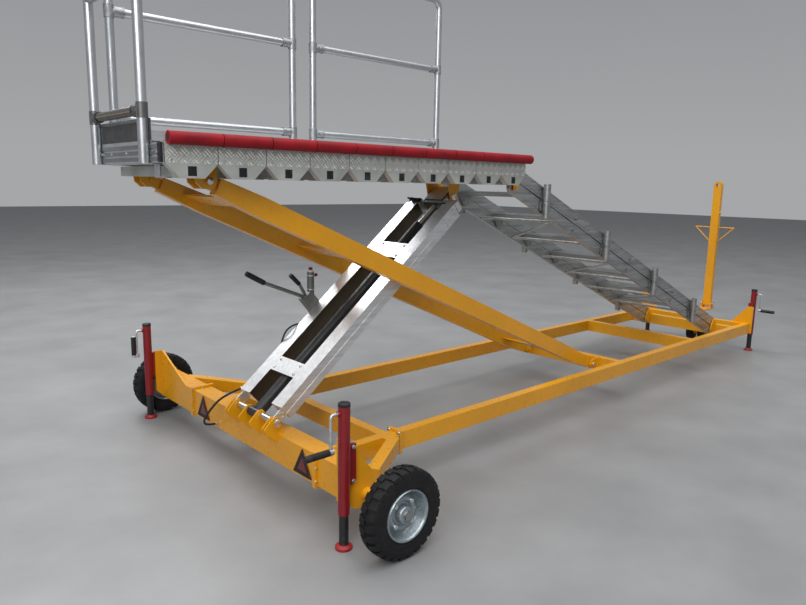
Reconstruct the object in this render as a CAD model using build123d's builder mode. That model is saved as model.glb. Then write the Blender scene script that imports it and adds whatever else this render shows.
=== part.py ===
"""Towable hydraulic access platform, lowest position, jacks down.

Millimetres. X runs forward to the tow bar, Y to the left, which is the guardrail side, Z up.
Sizes and places are measured from the floor under the middle of the rear axle line. Each
finished piece is moved back by MIDDLE, so that the origin of the saved pieces is on the
floor under the middle of the whole machine.
"""

import os
from math import atan2, cos, hypot, radians, sin, tan

from build123d import *

os.makedirs("parts", exist_ok=True)

# Middle of the whole machine, measured from the rear axle line
MIDDLE = (2426, 136, 0)

# Frame of box section: two rails and what ties them
RAIL_OUT = 580
RAIL_W = 60
RAIL_H = 100
RAIL_TOP = 295
RAIL_Z = RAIL_TOP - RAIL_H / 2
RAIL_Y = RAIL_OUT - RAIL_W / 2
RAIL_IN = RAIL_OUT - RAIL_W
RAIL_JOINT_X = 475
RAIL_FRONT_X = 5260
JOINT_T = 10
TIE_W = 60
REAR_TIE_X = 405
ARM_TIE_X = 2830
MID_TIE_X = 4070
STAIR_TIE_X = 4955
FRONT_TIE_X = RAIL_FRONT_X - TIE_W / 2

# Rear beam and the two outriggers bolted to its ends
BEAM_W = 120
BEAM_H = 160
BEAM_TOP = 310
BEAM_Z = BEAM_TOP - BEAM_H / 2
FLANGE_T = 12
FLANGE_MARGIN = 15
NEAR_JOINT_Y = -570
FAR_JOINT_Y = 790
NEAR_END_Y = -892
FAR_END_Y = 1290
END_T = 12
BRACE_W = 60
BRACE_H = 80

# Road wheels at the rear
WHEEL_D = 415
WHEEL_Z = WHEEL_D / 2
TYRE_W = 105
RIM_D = 237
WHEEL_Y = {"near": -1128, "far": 1400}
AXLE_R = 20
HUB_R = 48
HUB_LENGTH = 90
RUN_GAP = 0.05

# Screw jacks: outer tube, sliding leg, pad
JACK_R = 27
JACK_BORE = 23
LEG_R = 22
PAD_R = 40
PAD_H = 12
PAD_CONE_H = 10
JACK_FOOT_Z = 166
LEG_TOP = 480
CRANK_R = 7
CRANK_REACH = 72
CRANK_DROP = 165
GRIP_R = 14
GRIP_LENGTH = 130

# Lift arms: two bars that carry the level platform
ARM_FOOT = (2735, 250)
ARM_HEAD = (-473, 1620)
ARM_IN = 280
ARM_W = 60
ARM_DEPTH = 100
ARM_END_R = 36
ARM_TAPER = 300
ARM_CUT = 58
ARM_CUT_DEPTH = 78
ARM_EYE_W = 34
ARM_EYE_R = 27
PIN_R = 15
LUG_T = 10
SIDE_GAP = 5

# Telescopic mast
MAST_FOOT = (-65, 372)
MAST_HEAD = (1350, 1550)
MAST_OUT = 218
MAST_IN = 118
MAST_WALL = 6
MAST_TOP_N = 40
MAST_BOTTOM_N = -50
MAST_START = 74
MAST_END = 1724
MAST_PLATES = ((255, 353), (1220, 1345))
MAST_PLATE_T = 8
MAST_EYE_Y = 200
STAGE_GAP = 5
STAGE_END = 1772
CYLINDER_R = 35
CYLINDER_N = -10
BARREL_END = 1564
ROD_R = 20

# Platform
DECK_Z = 1771
DECK_T = 5
PLATFORM_X0 = -720
PLATFORM_X1 = 1600
PLATFORM_NEAR = -360
PLATFORM_FAR = 340
CORNER_X = -650
CORNER_Y = 250
FRAME_W = 50
FRAME_H = 84
FRAME_Z = DECK_Z - FRAME_H / 2
PLANK_COUNT = 10
PLANK_PITCH = (PLATFORM_X1 - PLATFORM_X0) / PLANK_COUNT
PLANK_GAP = 4
PLANK_FACE_Y = -480
PLANK_BACK_Y = 60
PLANK_T = 5
PLANK_SKIRT_Z = 1690
PLANK_FOOT_Z = 1630
PLANK_FOOT_HALF = 55
PLANK_FOLD = 36
SLIDE_GAP = 0.3
RUNNER = 46
RUNNER_WALL = 3
RUNNER_END_Y = 265
SLEEVE_WALL = 3
SLEEVE_GAP = 1
SLEEVE_LENGTH = 60
SLEEVE_W = RUNNER + 2 * (SLEEVE_GAP + SLEEVE_WALL)
SLEEVE_H = RUNNER + 2 * (2 * SLEEVE_GAP + SLEEVE_WALL)
RUNNER_Z = DECK_Z - FRAME_H - SLEEVE_H / 2
BUMPER_R = 27
BUMPER_Z = 1788

# Guardrail
POST_R = 21
RAIL_TUBE_R = 20
GUARD_Y = PLATFORM_FAR + POST_R + SLIDE_GAP
GUARD_TOP = 2880
GUARD_MID_Z = 2420
GUARD_LOW_Z = 1917
GUARD_BEND = 60
END_LOW_Z = 1900
END_POST_Y = (-340, 228)

# Self-levelling stair, its two links hinged at frame and platform
STAIR_FOOT = (4850, 247)
STAIR_HEAD = (STAIR_FOOT[0] + ARM_HEAD[0] - ARM_FOOT[0], STAIR_FOOT[1] + ARM_HEAD[1] - ARM_FOOT[1])
LINK_OFFSET = (40, 80)
STRINGER_OUT = 360
STRINGER_W = 30
STRINGER_DEPTH = 80
STRINGER_END = 110
GROOVE_W = 8
GROOVE_T = 2
GROOVE_N = 27
TIE_TUBE_R = 10
TIE_TUBE_N = -28
TIE_SINK = 8
TREAD_COUNT = 7
FIRST_TREAD = 0.161
TREAD_PITCH = 0.1247
TREAD_T = 30
TREAD_DEPTH = 225
TREAD_BACK = 80
STAIR_PIN_R = 8
SOCKET_R = 25
SOCKET_BORE = 21.5
SOCKET_LENGTH = 112
SOCKET_LOW = -79
SOCKET_HIGH = 37

# Tow bar and steered front wheels
STEER_X = 5400
FRONT_WHEEL_D = 190
FRONT_WHEEL_W = 45
FRONT_WHEEL_Y = 62
TOW_X = 5580
TOW_Z = 385
TOW_W = 80
TOW_T = 50
EYE_Z = 1676
EYE_R = 20


def side_plane(y):
    """Upright plane across Y, drawn in it as (x, z)."""
    return Plane.XZ.offset(-y)


def end_plane(x):
    """Upright plane across X, drawn in it as (y, z)."""
    return Plane.YZ.offset(x)


def beam(start, end, width, depth, side=(0, 1, 0)):
    """Rectangular bar from start to end, its width along side."""
    axis = Vector(*end) - Vector(*start)
    with BuildPart() as bar:
        with BuildSketch(Plane(origin=start, x_dir=side, z_dir=axis)):
            Rectangle(width, depth)
        extrude(amount=axis.length)
    return bar.part


def hollow_beam(start, end, width, depth, wall, side=(0, 1, 0)):
    """Open rectangular tube from start to end, its width along side."""
    axis = Vector(*end) - Vector(*start)
    with BuildPart() as bar:
        with BuildSketch(Plane(origin=start, x_dir=side, z_dir=axis)):
            Rectangle(width, depth)
            Rectangle(width - 2 * wall, depth - 2 * wall, mode=Mode.SUBTRACT)
        extrude(amount=axis.length)
    return bar.part


def tube(start, end, radius, bore=0):
    """Round bar, or a pipe where it has a bore, from start to end."""
    axis = Vector(*end) - Vector(*start)
    with BuildPart() as pipe:
        with BuildSketch(Plane(origin=start, z_dir=axis)):
            Circle(radius)
            if bore:
                Circle(bore, mode=Mode.SUBTRACT)
        extrude(amount=axis.length)
    return pipe.part


def pipe(points, bends, radius):
    """Round bar along straight runs through the points, bent by the radii between them."""
    with BuildPart() as bar:
        with BuildLine() as path:
            FilletPolyline(*points, radius=bends)
        with BuildSketch(Plane(origin=path.line @ 0, z_dir=path.line % 0)):
            Circle(radius)
        sweep(path=path.line)
    return bar.part


def soft_bends(points):
    """Bend radii of a hose: its arcs take 0.45 of the shorter run beside each point."""
    bends = []
    for before, at, after in zip(points, points[1:], points[2:]):
        first, second = Vector(*at) - Vector(*before), Vector(*after) - Vector(*at)
        half_turn = radians(first.get_angle(second)) / 2
        bends.append(0.45 * min(first.length, second.length) / tan(half_turn))
    return bends


def plate(plane, outline, thickness):
    """Flat plate of the outline, half its thickness to each side of the plane."""
    with BuildPart() as sheet:
        with BuildSketch(plane):
            with BuildLine():
                Polyline(*outline, close=True)
            make_face()
        extrude(amount=thickness / 2, both=True)
    return sheet.part


def slab(x_span, y_span, z_span):
    """Plain block between pairs of faces."""
    middle = tuple(sum(span) / 2 for span in (x_span, y_span, z_span))
    size = [abs(span[1] - span[0]) for span in (x_span, y_span, z_span)]
    with BuildPart() as block:
        with Locations(middle):
            Box(*size)
    return block.part


def link_plane(start, end, y):
    """Upright plane at y through two pins, drawn as (along, across)."""
    along = (end[0] - start[0], 0, end[1] - start[1])
    return Plane(origin=(start[0], y, start[1]), x_dir=along, z_dir=(0, -1, 0))


def stair_link(start, end, y, grooved):
    """Stair link with rounded ends round its pins and two grooves in its outer face."""
    length = hypot(end[0] - start[0], end[1] - start[1])
    plane = link_plane(start, end, y)
    with BuildPart() as bar:
        with BuildSketch(plane):
            with Locations((length / 2, 0)):
                SlotCenterToCenter(length, STRINGER_DEPTH)
            with Locations((0, 0), (length, 0)):
                Circle(STAIR_PIN_R + RUN_GAP, mode=Mode.SUBTRACT)
        extrude(amount=STRINGER_W / 2, both=True)
        with BuildSketch(plane.offset(grooved * (STRINGER_W / 2 - GROOVE_T))):
            with Locations((length / 2, GROOVE_N), (length / 2, -GROOVE_N)):
                Rectangle(length - 2 * STRINGER_END, GROOVE_W)
        extrude(amount=grooved * GROOVE_T, mode=Mode.SUBTRACT)
    return bar.part


def lift_arm(y):
    """Lift arm: rounded at its foot pin, tapered, cut square before the eye at its head."""
    length = hypot(ARM_HEAD[0] - ARM_FOOT[0], ARM_HEAD[1] - ARM_FOOT[1])
    half, cut = ARM_DEPTH / 2, length - ARM_CUT
    outline = [(0, ARM_END_R), (ARM_TAPER, half), (length - ARM_TAPER, half), (cut, ARM_CUT_DEPTH / 2)]
    outline += [(cut, -ARM_CUT_DEPTH / 2), (length - ARM_TAPER, -half), (ARM_TAPER, -half), (0, -ARM_END_R)]
    plane = link_plane(ARM_FOOT, ARM_HEAD, y)
    with BuildPart() as arm:
        with BuildSketch(plane):
            with BuildLine():
                Polyline(*outline, close=True)
            make_face()
            Circle(ARM_END_R)
            with Locations((length, 0)):
                Circle(PIN_R + LUG_T)
        extrude(amount=ARM_W / 2, both=True)
        with BuildSketch(plane):
            with Locations((length - ARM_CUT, 0)):
                Rectangle(2 * ARM_CUT, 2 * ARM_EYE_R)
            with Locations((length, 0)):
                Circle(ARM_EYE_R)
        extrude(amount=ARM_EYE_W / 2, both=True)
        with BuildSketch(plane):
            with Locations((0, 0), (length, 0)):
                Circle(PIN_R + RUN_GAP)
        extrude(amount=ARM_W / 2, both=True, mode=Mode.SUBTRACT)
    return arm.part


def along_mast(s, n=0):
    """Point (x, z) at s along the mast from its foot pin and n above its pin line."""
    angle = atan2(MAST_HEAD[1] - MAST_FOOT[1], MAST_HEAD[0] - MAST_FOOT[0])
    x = MAST_FOOT[0] + s * cos(angle) - n * sin(angle)
    return x, MAST_FOOT[1] + s * sin(angle) + n * cos(angle)


def mast_bar(s0, s1, y, width, depth, n=0, wall=0):
    """Bar along the mast at height n over its pin line."""
    x0, z0 = along_mast(s0, n)
    x1, z1 = along_mast(s1, n)
    if wall:
        return hollow_beam((x0, y, z0), (x1, y, z1), width, depth, wall)
    return beam((x0, y, z0), (x1, y, z1), width, depth)


def save(piece, name):
    """Move the piece to the machine's origin and write it under its name."""
    piece = Pos(-MIDDLE[0], -MIDDLE[1], -MIDDLE[2]) * piece
    piece.label = name
    export_step(piece, f"parts/{name}.step")


def foot_lug(foot, tie_x, tip_r, y):
    """Clevis plate from a cross member's rear face round the foot pin of a lift arm."""
    x, z = foot
    outline = [(tie_x, RAIL_Z - 40), (tie_x, RAIL_Z + 45), (x + 5, z + tip_r)]
    outline += [(x - 20, z + tip_r * 0.7), (x - tip_r, z), (x - 20, z - tip_r * 0.7), (x + 5, z - tip_r)]
    return plate(side_plane(y), outline, LUG_T)


def stair_foot_lug(y):
    """Plate on the stair's cross member that holds the foot pins of both links."""
    x, z = STAIR_FOOT
    dx, dz = LINK_OFFSET
    tie_x = STAIR_TIE_X - TIE_W / 2
    outline = [(tie_x, z - 30), (tie_x, RAIL_TOP), (tie_x + 40, RAIL_TOP), (x + dx + 22, z + dz + 5)]
    outline += [(x + dx + 8, z + dz + 22), (x + dx - 14, z + dz + 20), (x - 20, z + 14), (x - 16, z - 18)]
    return plate(side_plane(y), outline, LUG_T)


def stair_head_lug(y):
    """Plate on the platform's end that holds the head pins of both stair links."""
    x, z = STAIR_HEAD
    dx, dz = LINK_OFFSET
    outline = [(PLATFORM_X1 + END_T, 1690), (PLATFORM_X1 + END_T, DECK_Z), (x + dx, DECK_Z)]
    outline += [(x + dx + 24, z + dz), (x + dx + 10, z + dz - 24), (x + 20, z - 18), (x - 14, z - 20)]
    return plate(side_plane(y), outline, LUG_T)


def cross_pin(x, z, y0, y1, radius):
    return tube((x, y0, z), (x, y1, z), radius)


ARM_LUG_Y = (ARM_IN - SIDE_GAP - LUG_T / 2, ARM_IN + ARM_W + SIDE_GAP + LUG_T / 2)
STAIR_LUG_Y = (STRINGER_OUT - STRINGER_W - SIDE_GAP - LUG_T / 2, STRINGER_OUT + SIDE_GAP + LUG_T / 2)

# Rails, each with the bolted flange pair near its rear end
with BuildPart() as rails:
    for side in (-1, 1):
        y = side * RAIL_Y
        add(beam((BEAM_W / 2, y, RAIL_Z), (RAIL_FRONT_X, y, RAIL_Z), RAIL_W, RAIL_H))
        flange_x = (RAIL_JOINT_X - JOINT_T, RAIL_JOINT_X + JOINT_T)
        add(slab(flange_x, (y - 50, y + 50), (RAIL_Z - 65, RAIL_Z + 65)))
save(rails.part, "rails")

# Cross members with the lugs and foot pins of arms and stair
with BuildPart() as cross_members:
    for x in (REAR_TIE_X, ARM_TIE_X, MID_TIE_X, STAIR_TIE_X):
        add(beam((x, -RAIL_IN, RAIL_Z), (x, RAIL_IN, RAIL_Z), TIE_W, RAIL_H, (1, 0, 0)))
    for side in (-1, 1):
        for y in ARM_LUG_Y:
            add(foot_lug(ARM_FOOT, ARM_TIE_X - TIE_W / 2, 35, side * y))
        y0, y1 = side * (ARM_LUG_Y[0] - 15), side * (ARM_LUG_Y[1] + 15)
        add(cross_pin(*ARM_FOOT, y0, y1, PIN_R))
        for y in STAIR_LUG_Y:
            add(stair_foot_lug(side * y))
        y0, y1 = side * (STAIR_LUG_Y[0] - 10), side * (STAIR_LUG_Y[1] + 10)
        for step in (0, 1):
            x = STAIR_FOOT[0] + step * LINK_OFFSET[0]
            z = STAIR_FOOT[1] + step * LINK_OFFSET[1]
            add(cross_pin(x, z, y0, y1, STAIR_PIN_R))
save(cross_members.part, "cross_members")

# Front end: tie, jack gussets, neck and pivot tube of the steering
with BuildPart() as front_end:
    add(beam((FRONT_TIE_X, -RAIL_IN, RAIL_Z), (FRONT_TIE_X, RAIL_IN, RAIL_Z), TIE_W, RAIL_H, (1, 0, 0)))
    for side in (-1, 1):
        gusset = [(side * 300, RAIL_TOP - RAIL_H), (side * 300, RAIL_TOP), (side * 400, RAIL_TOP)]
        gusset += [(side * 548, 468), (side * 600, 468), (side * 600, RAIL_TOP - RAIL_H)]
        add(plate(end_plane(RAIL_FRONT_X + END_T / 2), gusset, END_T))
    add(slab((RAIL_FRONT_X, STEER_X), (-40, 40), (225, RAIL_TOP)))
    add(tube((STEER_X, 0, 215), (STEER_X, 0, 330), 45))
    with Locations((STEER_X, 0, 270)):
        Cylinder(25 + RUN_GAP, 120, mode=Mode.SUBTRACT)
save(front_end.part, "front_end")

# Rear beam with its end flanges, mast lugs and mast foot pin
LUG_Y = (-213, -187, -58, 58, 187, 213)
LUG_R = 31
FLANGE_HALF = BEAM_W / 2 + FLANGE_MARGIN
FLANGE = [(-FLANGE_HALF, BEAM_TOP - BEAM_H - 10), (BEAM_W / 2, BEAM_TOP - BEAM_H - 10)]
FLANGE += [(BEAM_W / 2, RAIL_TOP + 2), (FLANGE_HALF, RAIL_TOP + 2)]
FLANGE += [(FLANGE_HALF, BEAM_TOP + FLANGE_MARGIN), (-FLANGE_HALF, BEAM_TOP + FLANGE_MARGIN)]
with BuildPart() as rear_beam:
    add(beam((0, NEAR_JOINT_Y, BEAM_Z), (0, FAR_JOINT_Y, BEAM_Z), BEAM_W, BEAM_H, (1, 0, 0)))
    for y in (NEAR_JOINT_Y + FLANGE_T / 2, FAR_JOINT_Y - FLANGE_T / 2):
        add(plate(side_plane(y), FLANGE, FLANGE_T))
    x, z = MAST_FOOT
    back = -BEAM_W / 2
    for y in LUG_Y:
        lug = [(back + 40, BEAM_TOP), (x + 22, z + 16), (x + 10, z + LUG_R), (x - 14, z + LUG_R)]
        lug += [(x - 28, z + 22), (x - 72, z - 25), (x - 64, z - 50), (back, z - 110), (back, BEAM_TOP)]
        add(plate(side_plane(y), lug, LUG_T))
    add(cross_pin(x, z, LUG_Y[0] - 15, LUG_Y[-1] + 15, PIN_R))
save(rear_beam.part, "rear_beam")


def brace(rail_end, beam_end):
    """Flat-lying diagonal from a rail's outer face to the front face of an outrigger."""
    z = RAIL_TOP - BRACE_H / 2
    side = 1 if rail_end[1] > 0 else -1
    y = beam_end[1]
    with BuildPart() as diagonal:
        add(beam((*rail_end, z), (*beam_end, z), BRACE_H, BRACE_W, (0, 0, 1)))
        add(slab((360, 450), (side * RAIL_OUT, side * (RAIL_OUT + 30)), (z - 40, z + 40)))
        add(slab((BEAM_W / 2, 100), (y - 40, y + 40), (z - 40, z + 40)))
    return diagonal.part


# Near outrigger: beam, brace, end plate and stub axle
with BuildPart() as near_outrigger:
    y0 = NEAR_JOINT_Y - FLANGE_T
    add(plate(side_plane(NEAR_JOINT_Y - FLANGE_T / 2), FLANGE, FLANGE_T))
    add(beam((0, y0, BEAM_Z), (0, NEAR_END_Y + END_T, BEAM_Z), BEAM_W, BEAM_H, (1, 0, 0)))
    add(brace((415, -RAIL_OUT - 28), (92, -835)))
    wall = [(-130, 190), (-130, 490), (-105, 490), (25, 323), (75, 303), (75, 150), (-60, 150)]
    add(plate(side_plane(NEAR_END_Y + END_T / 2), wall, END_T))
    add(slab((-130, -122), (NEAR_END_Y + END_T, NEAR_END_Y + 60), (190, 490)))
    add(tube((0, NEAR_END_Y, WHEEL_Z), (0, WHEEL_Y["near"] - HUB_LENGTH / 2 - 8, WHEEL_Z), AXLE_R))
    add(tube((0, NEAR_END_Y, WHEEL_Z), (0, WHEEL_Y["near"] + HUB_LENGTH / 2 + 3, WHEEL_Z), 32))
save(near_outrigger.part, "near_outrigger")

# Far outrigger: longer beam, brace, end plate, jack gusset and stub axle
with BuildPart() as far_outrigger:
    y0 = FAR_JOINT_Y + FLANGE_T
    add(plate(side_plane(FAR_JOINT_Y + FLANGE_T / 2), FLANGE, FLANGE_T))
    add(beam((0, y0, BEAM_Z), (0, FAR_END_Y - END_T, BEAM_Z), BEAM_W, BEAM_H, (1, 0, 0)))
    add(brace((400, RAIL_OUT + 35), (92, 1130)))
    wall = [(-100, 190), (-100, 470), (-60, 470), (60, 310), (75, 303), (75, 150), (-60, 150)]
    add(plate(side_plane(FAR_END_Y - END_T / 2), wall, END_T))
    gusset = [(900, BEAM_TOP), (1250, 470), (FAR_END_Y - END_T, 470), (FAR_END_Y - END_T, BEAM_TOP)]
    add(plate(end_plane(-BEAM_W / 2 + END_T / 2), gusset, END_T))
    add(tube((0, FAR_END_Y, WHEEL_Z), (0, WHEEL_Y["far"] + HUB_LENGTH / 2 + 8, WHEEL_Z), AXLE_R))
    add(tube((0, FAR_END_Y, WHEEL_Z), (0, WHEEL_Y["far"] - HUB_LENGTH / 2 - 3, WHEEL_Z), 32))
save(far_outrigger.part, "far_outrigger")

# Jacks: name, x, y, top of tube, way that the crank points, whether its grip is folded up
JACKS = (
    ("near_rear", -151, -915, 680, (-1, 0), False),
    ("far_rear", -140, 1303, 660, (-1, 0), True),
    ("near_front", 5357, -558, 630, (0, -1), False),
    ("far_front", 5357, 558, 630, (0, 1), False),
)
with BuildPart() as jack_tubes:
    for name, x, y, top, out, folded in JACKS:
        add(tube((x, y, JACK_FOOT_Z), (x, y, top - 20), JACK_R, JACK_BORE))
        add(tube((x, y, top - 22), (x, y, top), JACK_R))
    add(slab((-140, -80), (-912, NEAR_END_Y), (290, 480)))
    add(slab((-122, -80), (FAR_END_Y, 1310), (290, 460)))
    for side in (-1, 1):
        add(slab((RAIL_FRONT_X + END_T, 5336), (side * 558 - 15, side * 558 + 15), (300, 500)))
    for name, x, y, top, out, folded in JACKS:
        with Locations((x, y, (JACK_FOOT_Z + top - 22) / 2)):
            Cylinder(JACK_BORE, top - 22 - JACK_FOOT_Z, mode=Mode.SUBTRACT)
save(jack_tubes.part, "jack_tubes")

with BuildPart() as jack_cranks:
    for name, x, y, top, (out_x, out_y), folded in JACKS:
        z = top - 40
        start = (x + out_x * JACK_R, y + out_y * JACK_R, z)
        elbow = (x + out_x * CRANK_REACH, y + out_y * CRANK_REACH, z)
        low = (elbow[0], elbow[1], z - CRANK_DROP)
        add(pipe((start, elbow, low), 2 * CRANK_R, CRANK_R))
        if folded:
            beside = (low[0] + out_x * (CRANK_R + GRIP_R), low[1] + out_y * (CRANK_R + GRIP_R))
            add(tube((*beside, low[2] - GRIP_R), (*beside, low[2] + GRIP_LENGTH), GRIP_R))
            add(tube((*low[:2], low[2] - GRIP_R), (*low[:2], low[2] + GRIP_R), GRIP_R))
        else:
            near = (low[0] - out_x * GRIP_R, low[1] - out_y * GRIP_R, low[2])
            tip = (low[0] + out_x * GRIP_LENGTH, low[1] + out_y * GRIP_LENGTH, low[2])
            add(tube(near, tip, GRIP_R))
save(jack_cranks.part, "jack_cranks")

for name, x, y, top, out, folded in JACKS:
    with BuildPart() as leg:
        add(tube((x, y, 0), (x, y, PAD_H), PAD_R))
        with Locations((x, y, PAD_H + PAD_CONE_H / 2)):
            Cone(PAD_R, LEG_R + 4, PAD_CONE_H)
        add(tube((x, y, PAD_H), (x, y, LEG_TOP), LEG_R))
    save(leg.part, f"jack_leg_{name}")

# Rear wheels
for side_name, y in WHEEL_Y.items():
    side = -1 if y < 0 else 1
    with BuildPart() as tyre:
        with BuildSketch(Plane.YZ):
            with BuildLine():
                Polyline(
                    (-38, RIM_D / 2),
                    (-TYRE_W / 2 + 4, RIM_D / 2 + 15),
                    (-TYRE_W / 2, WHEEL_D / 2 - 45),
                    (-TYRE_W / 2 + 10, WHEEL_D / 2 - 10),
                    (-TYRE_W / 2 + 22, WHEEL_D / 2),
                    (TYRE_W / 2 - 22, WHEEL_D / 2),
                    (TYRE_W / 2 - 10, WHEEL_D / 2 - 10),
                    (TYRE_W / 2, WHEEL_D / 2 - 45),
                    (TYRE_W / 2 - 4, RIM_D / 2 + 15),
                    (38, RIM_D / 2),
                    close=True,
                )
            make_face()
        revolve(axis=Axis.Y)
    save(Pos(0, y, WHEEL_Z) * tyre.part, f"{side_name}_tyre")
    with BuildPart() as rim:
        with BuildSketch(Plane.YZ):
            with BuildLine():
                Polyline(
                    (-side * 38, RIM_D / 2),
                    (-side * 38, 90),
                    (side * 10, 85),
                    (side * 10, HUB_R),
                    (-side * HUB_LENGTH / 2, HUB_R),
                    (-side * HUB_LENGTH / 2, AXLE_R + RUN_GAP),
                    (side * HUB_LENGTH / 2, AXLE_R + RUN_GAP),
                    (side * HUB_LENGTH / 2, HUB_R - 14),
                    (side * 18, HUB_R),
                    (side * 18, 92),
                    (side * 38, 98),
                    (side * 38, RIM_D / 2),
                    close=True,
                )
            make_face()
        revolve(axis=Axis.Y)
    save(Pos(0, y, WHEEL_Z) * rim.part, f"{side_name}_rim")

# Steering head with its pin, fork and clevis
with BuildPart() as steering_head:
    add(tube((STEER_X, 0, 210), (STEER_X, 0, 340), 25))
    add(slab((STEER_X - 60, STEER_X + 60), (-50, 50), (198, 210)))
    axle_z = FRONT_WHEEL_D / 2
    add(slab((STEER_X - 18, STEER_X + 18), (-FRONT_WHEEL_Y + 28, FRONT_WHEEL_Y - 28), (axle_z - 25, 198)))
    add(tube((STEER_X, -95, axle_z), (STEER_X, 95, axle_z), 12))
    add(slab((STEER_X - 50, TOW_X + 40), (-60, 60), (334, 346)))
    for side in (-1, 1):
        y = side * (TOW_W / 2 + 2 + LUG_T / 2)
        cheek = [(TOW_X - 35, 346), (TOW_X + 40, 346), (TOW_X + 30, TOW_Z + 25), (TOW_X - 30, TOW_Z + 25)]
        add(plate(side_plane(y), cheek, LUG_T))
    add(tube((TOW_X, -60, TOW_Z), (TOW_X, 60, TOW_Z), PIN_R))
save(steering_head.part, "steering_head")

with BuildPart() as front_wheels:
    for side in (-1, 1):
        y0 = side * (FRONT_WHEEL_Y - FRONT_WHEEL_W / 2)
        y1 = side * (FRONT_WHEEL_Y + FRONT_WHEEL_W / 2)
        add(tube((STEER_X, y0, axle_z), (STEER_X, y1, axle_z), axle_z, 12 + RUN_GAP))
save(front_wheels.part, "front_wheels")

# Tow bar
with BuildPart() as tow_bar:
    with BuildSketch(side_plane(0)):
        with Locations((TOW_X, (TOW_Z + EYE_Z) / 2)):
            Rectangle(TOW_T, EYE_Z - TOW_Z)
        with Locations((TOW_X, TOW_Z)):
            Circle(TOW_T / 2)
            Circle(PIN_R + RUN_GAP, mode=Mode.SUBTRACT)
    extrude(amount=TOW_W / 2, both=True)
    with BuildSketch(end_plane(TOW_X)):
        with Locations((0, EYE_Z)):
            Circle(TOW_W / 2)
    extrude(amount=TOW_T / 2, both=True)
    with BuildSketch(end_plane(TOW_X)):
        with Locations((0, EYE_Z)):
            Circle(EYE_R)
    extrude(amount=TOW_T, both=True, mode=Mode.SUBTRACT)
save(tow_bar.part, "tow_bar")

# Lift arms with the plates that tie them
with BuildPart() as lift_arms:
    for side in (-1, 1):
        add(lift_arm(side * (ARM_IN + ARM_W / 2)))
    run = (ARM_HEAD[0] - ARM_FOOT[0], ARM_HEAD[1] - ARM_FOOT[1])
    length = hypot(*run)
    for share in (0.09, 0.71, 0.93):
        x, z = ARM_FOOT[0] + share * run[0], ARM_FOOT[1] + share * run[1]
        half = 60
        p0 = (x - half * run[0] / length, 0, z - half * run[1] / length)
        p1 = (x + half * run[0] / length, 0, z + half * run[1] / length)
        add(beam(p0, p1, 2 * ARM_IN, 10))
save(lift_arms.part, "lift_arms")

# Mast: outer stage with the eyes on its foot pin and the plates that tie its profiles
MAST_N = (MAST_TOP_N + MAST_BOTTOM_N) / 2
MAST_DEPTH = MAST_TOP_N - MAST_BOTTOM_N
PROFILE_W = MAST_OUT - MAST_IN
PROFILE_Y = (MAST_OUT + MAST_IN) / 2
with BuildPart() as mast_outer:
    for side in (-1, 1):
        y = side * PROFILE_Y
        add(mast_bar(MAST_START, MAST_END, y, PROFILE_W, MAST_DEPTH, MAST_N, MAST_WALL))
        add(mast_bar(MAST_START, MAST_START + 10, y, PROFILE_W, MAST_DEPTH, MAST_N))
        add(mast_bar(0, MAST_START, side * MAST_EYE_Y, LUG_T, 2 * ARM_EYE_R))
        with Locations(Location((MAST_FOOT[0], side * MAST_EYE_Y, MAST_FOOT[1]), (90, 0, 0))):
            Cylinder(ARM_EYE_R, LUG_T)
    for s0, s1 in MAST_PLATES:
        add(mast_bar(s0, s1, 0, 2 * MAST_IN, MAST_PLATE_T, MAST_TOP_N - MAST_PLATE_T / 2))
    with Locations(Location((MAST_FOOT[0], 0, MAST_FOOT[1]), (90, 0, 0))):
        Cylinder(PIN_R + RUN_GAP, 2 * MAST_OUT, mode=Mode.SUBTRACT)
    for side in (-1, 1):
        y = side * (MAST_OUT - GROOVE_T / 2)
        add(mast_bar(MAST_START, MAST_END, y, GROOVE_T, GROOVE_W, MAST_N), mode=Mode.SUBTRACT)
save(mast_outer.part, "mast_outer")

# Mast cylinder: barrel with its eye on the foot pin
EYE_HALF = LUG_Y[3] - LUG_T / 2 - SIDE_GAP
with BuildPart() as mast_cylinder:
    x0, z0 = along_mast(PIN_R + 5, CYLINDER_N)
    x1, z1 = along_mast(PIN_R + 20, CYLINDER_N)
    x2, z2 = along_mast(BARREL_END, CYLINDER_N)
    add(tube((x0, 0, z0), (x1, 0, z1), CYLINDER_R))
    add(tube((x1, 0, z1), (x2, 0, z2), CYLINDER_R, ROD_R + 1))
    with Locations(Location((MAST_FOOT[0], 0, MAST_FOOT[1]), (90, 0, 0))):
        Cylinder(ARM_EYE_R, 2 * EYE_HALF)
        Cylinder(PIN_R + RUN_GAP, 2 * EYE_HALF, mode=Mode.SUBTRACT)
save(mast_cylinder.part, "mast_cylinder")

# Mast: inner stage in the profiles, with the head and the rod
STAGE_W = PROFILE_W - 2 * (MAST_WALL + STAGE_GAP)
STAGE_DEPTH = MAST_DEPTH - 2 * (MAST_WALL + STAGE_GAP)
with BuildPart() as mast_inner:
    for side in (-1, 1):
        add(mast_bar(190, STAGE_END, side * PROFILE_Y, STAGE_W, STAGE_DEPTH, MAST_N, wall=5))
    add(mast_bar(STAGE_END - 27, STAGE_END, 0, 2 * PROFILE_Y + STAGE_W, STAGE_DEPTH, MAST_N))
    add(mast_bar(STAGE_END - 7, STAGE_END + 119, 0, 160, 80))
    x0, z0 = along_mast(265, CYLINDER_N)
    x1, z1 = along_mast(STAGE_END - 15, CYLINDER_N)
    add(tube((x0, 0, z0), (x1, 0, z1), ROD_R))
    add(cross_pin(*MAST_HEAD, -94, 94, PIN_R))
save(mast_inner.part, "mast_inner")

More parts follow.
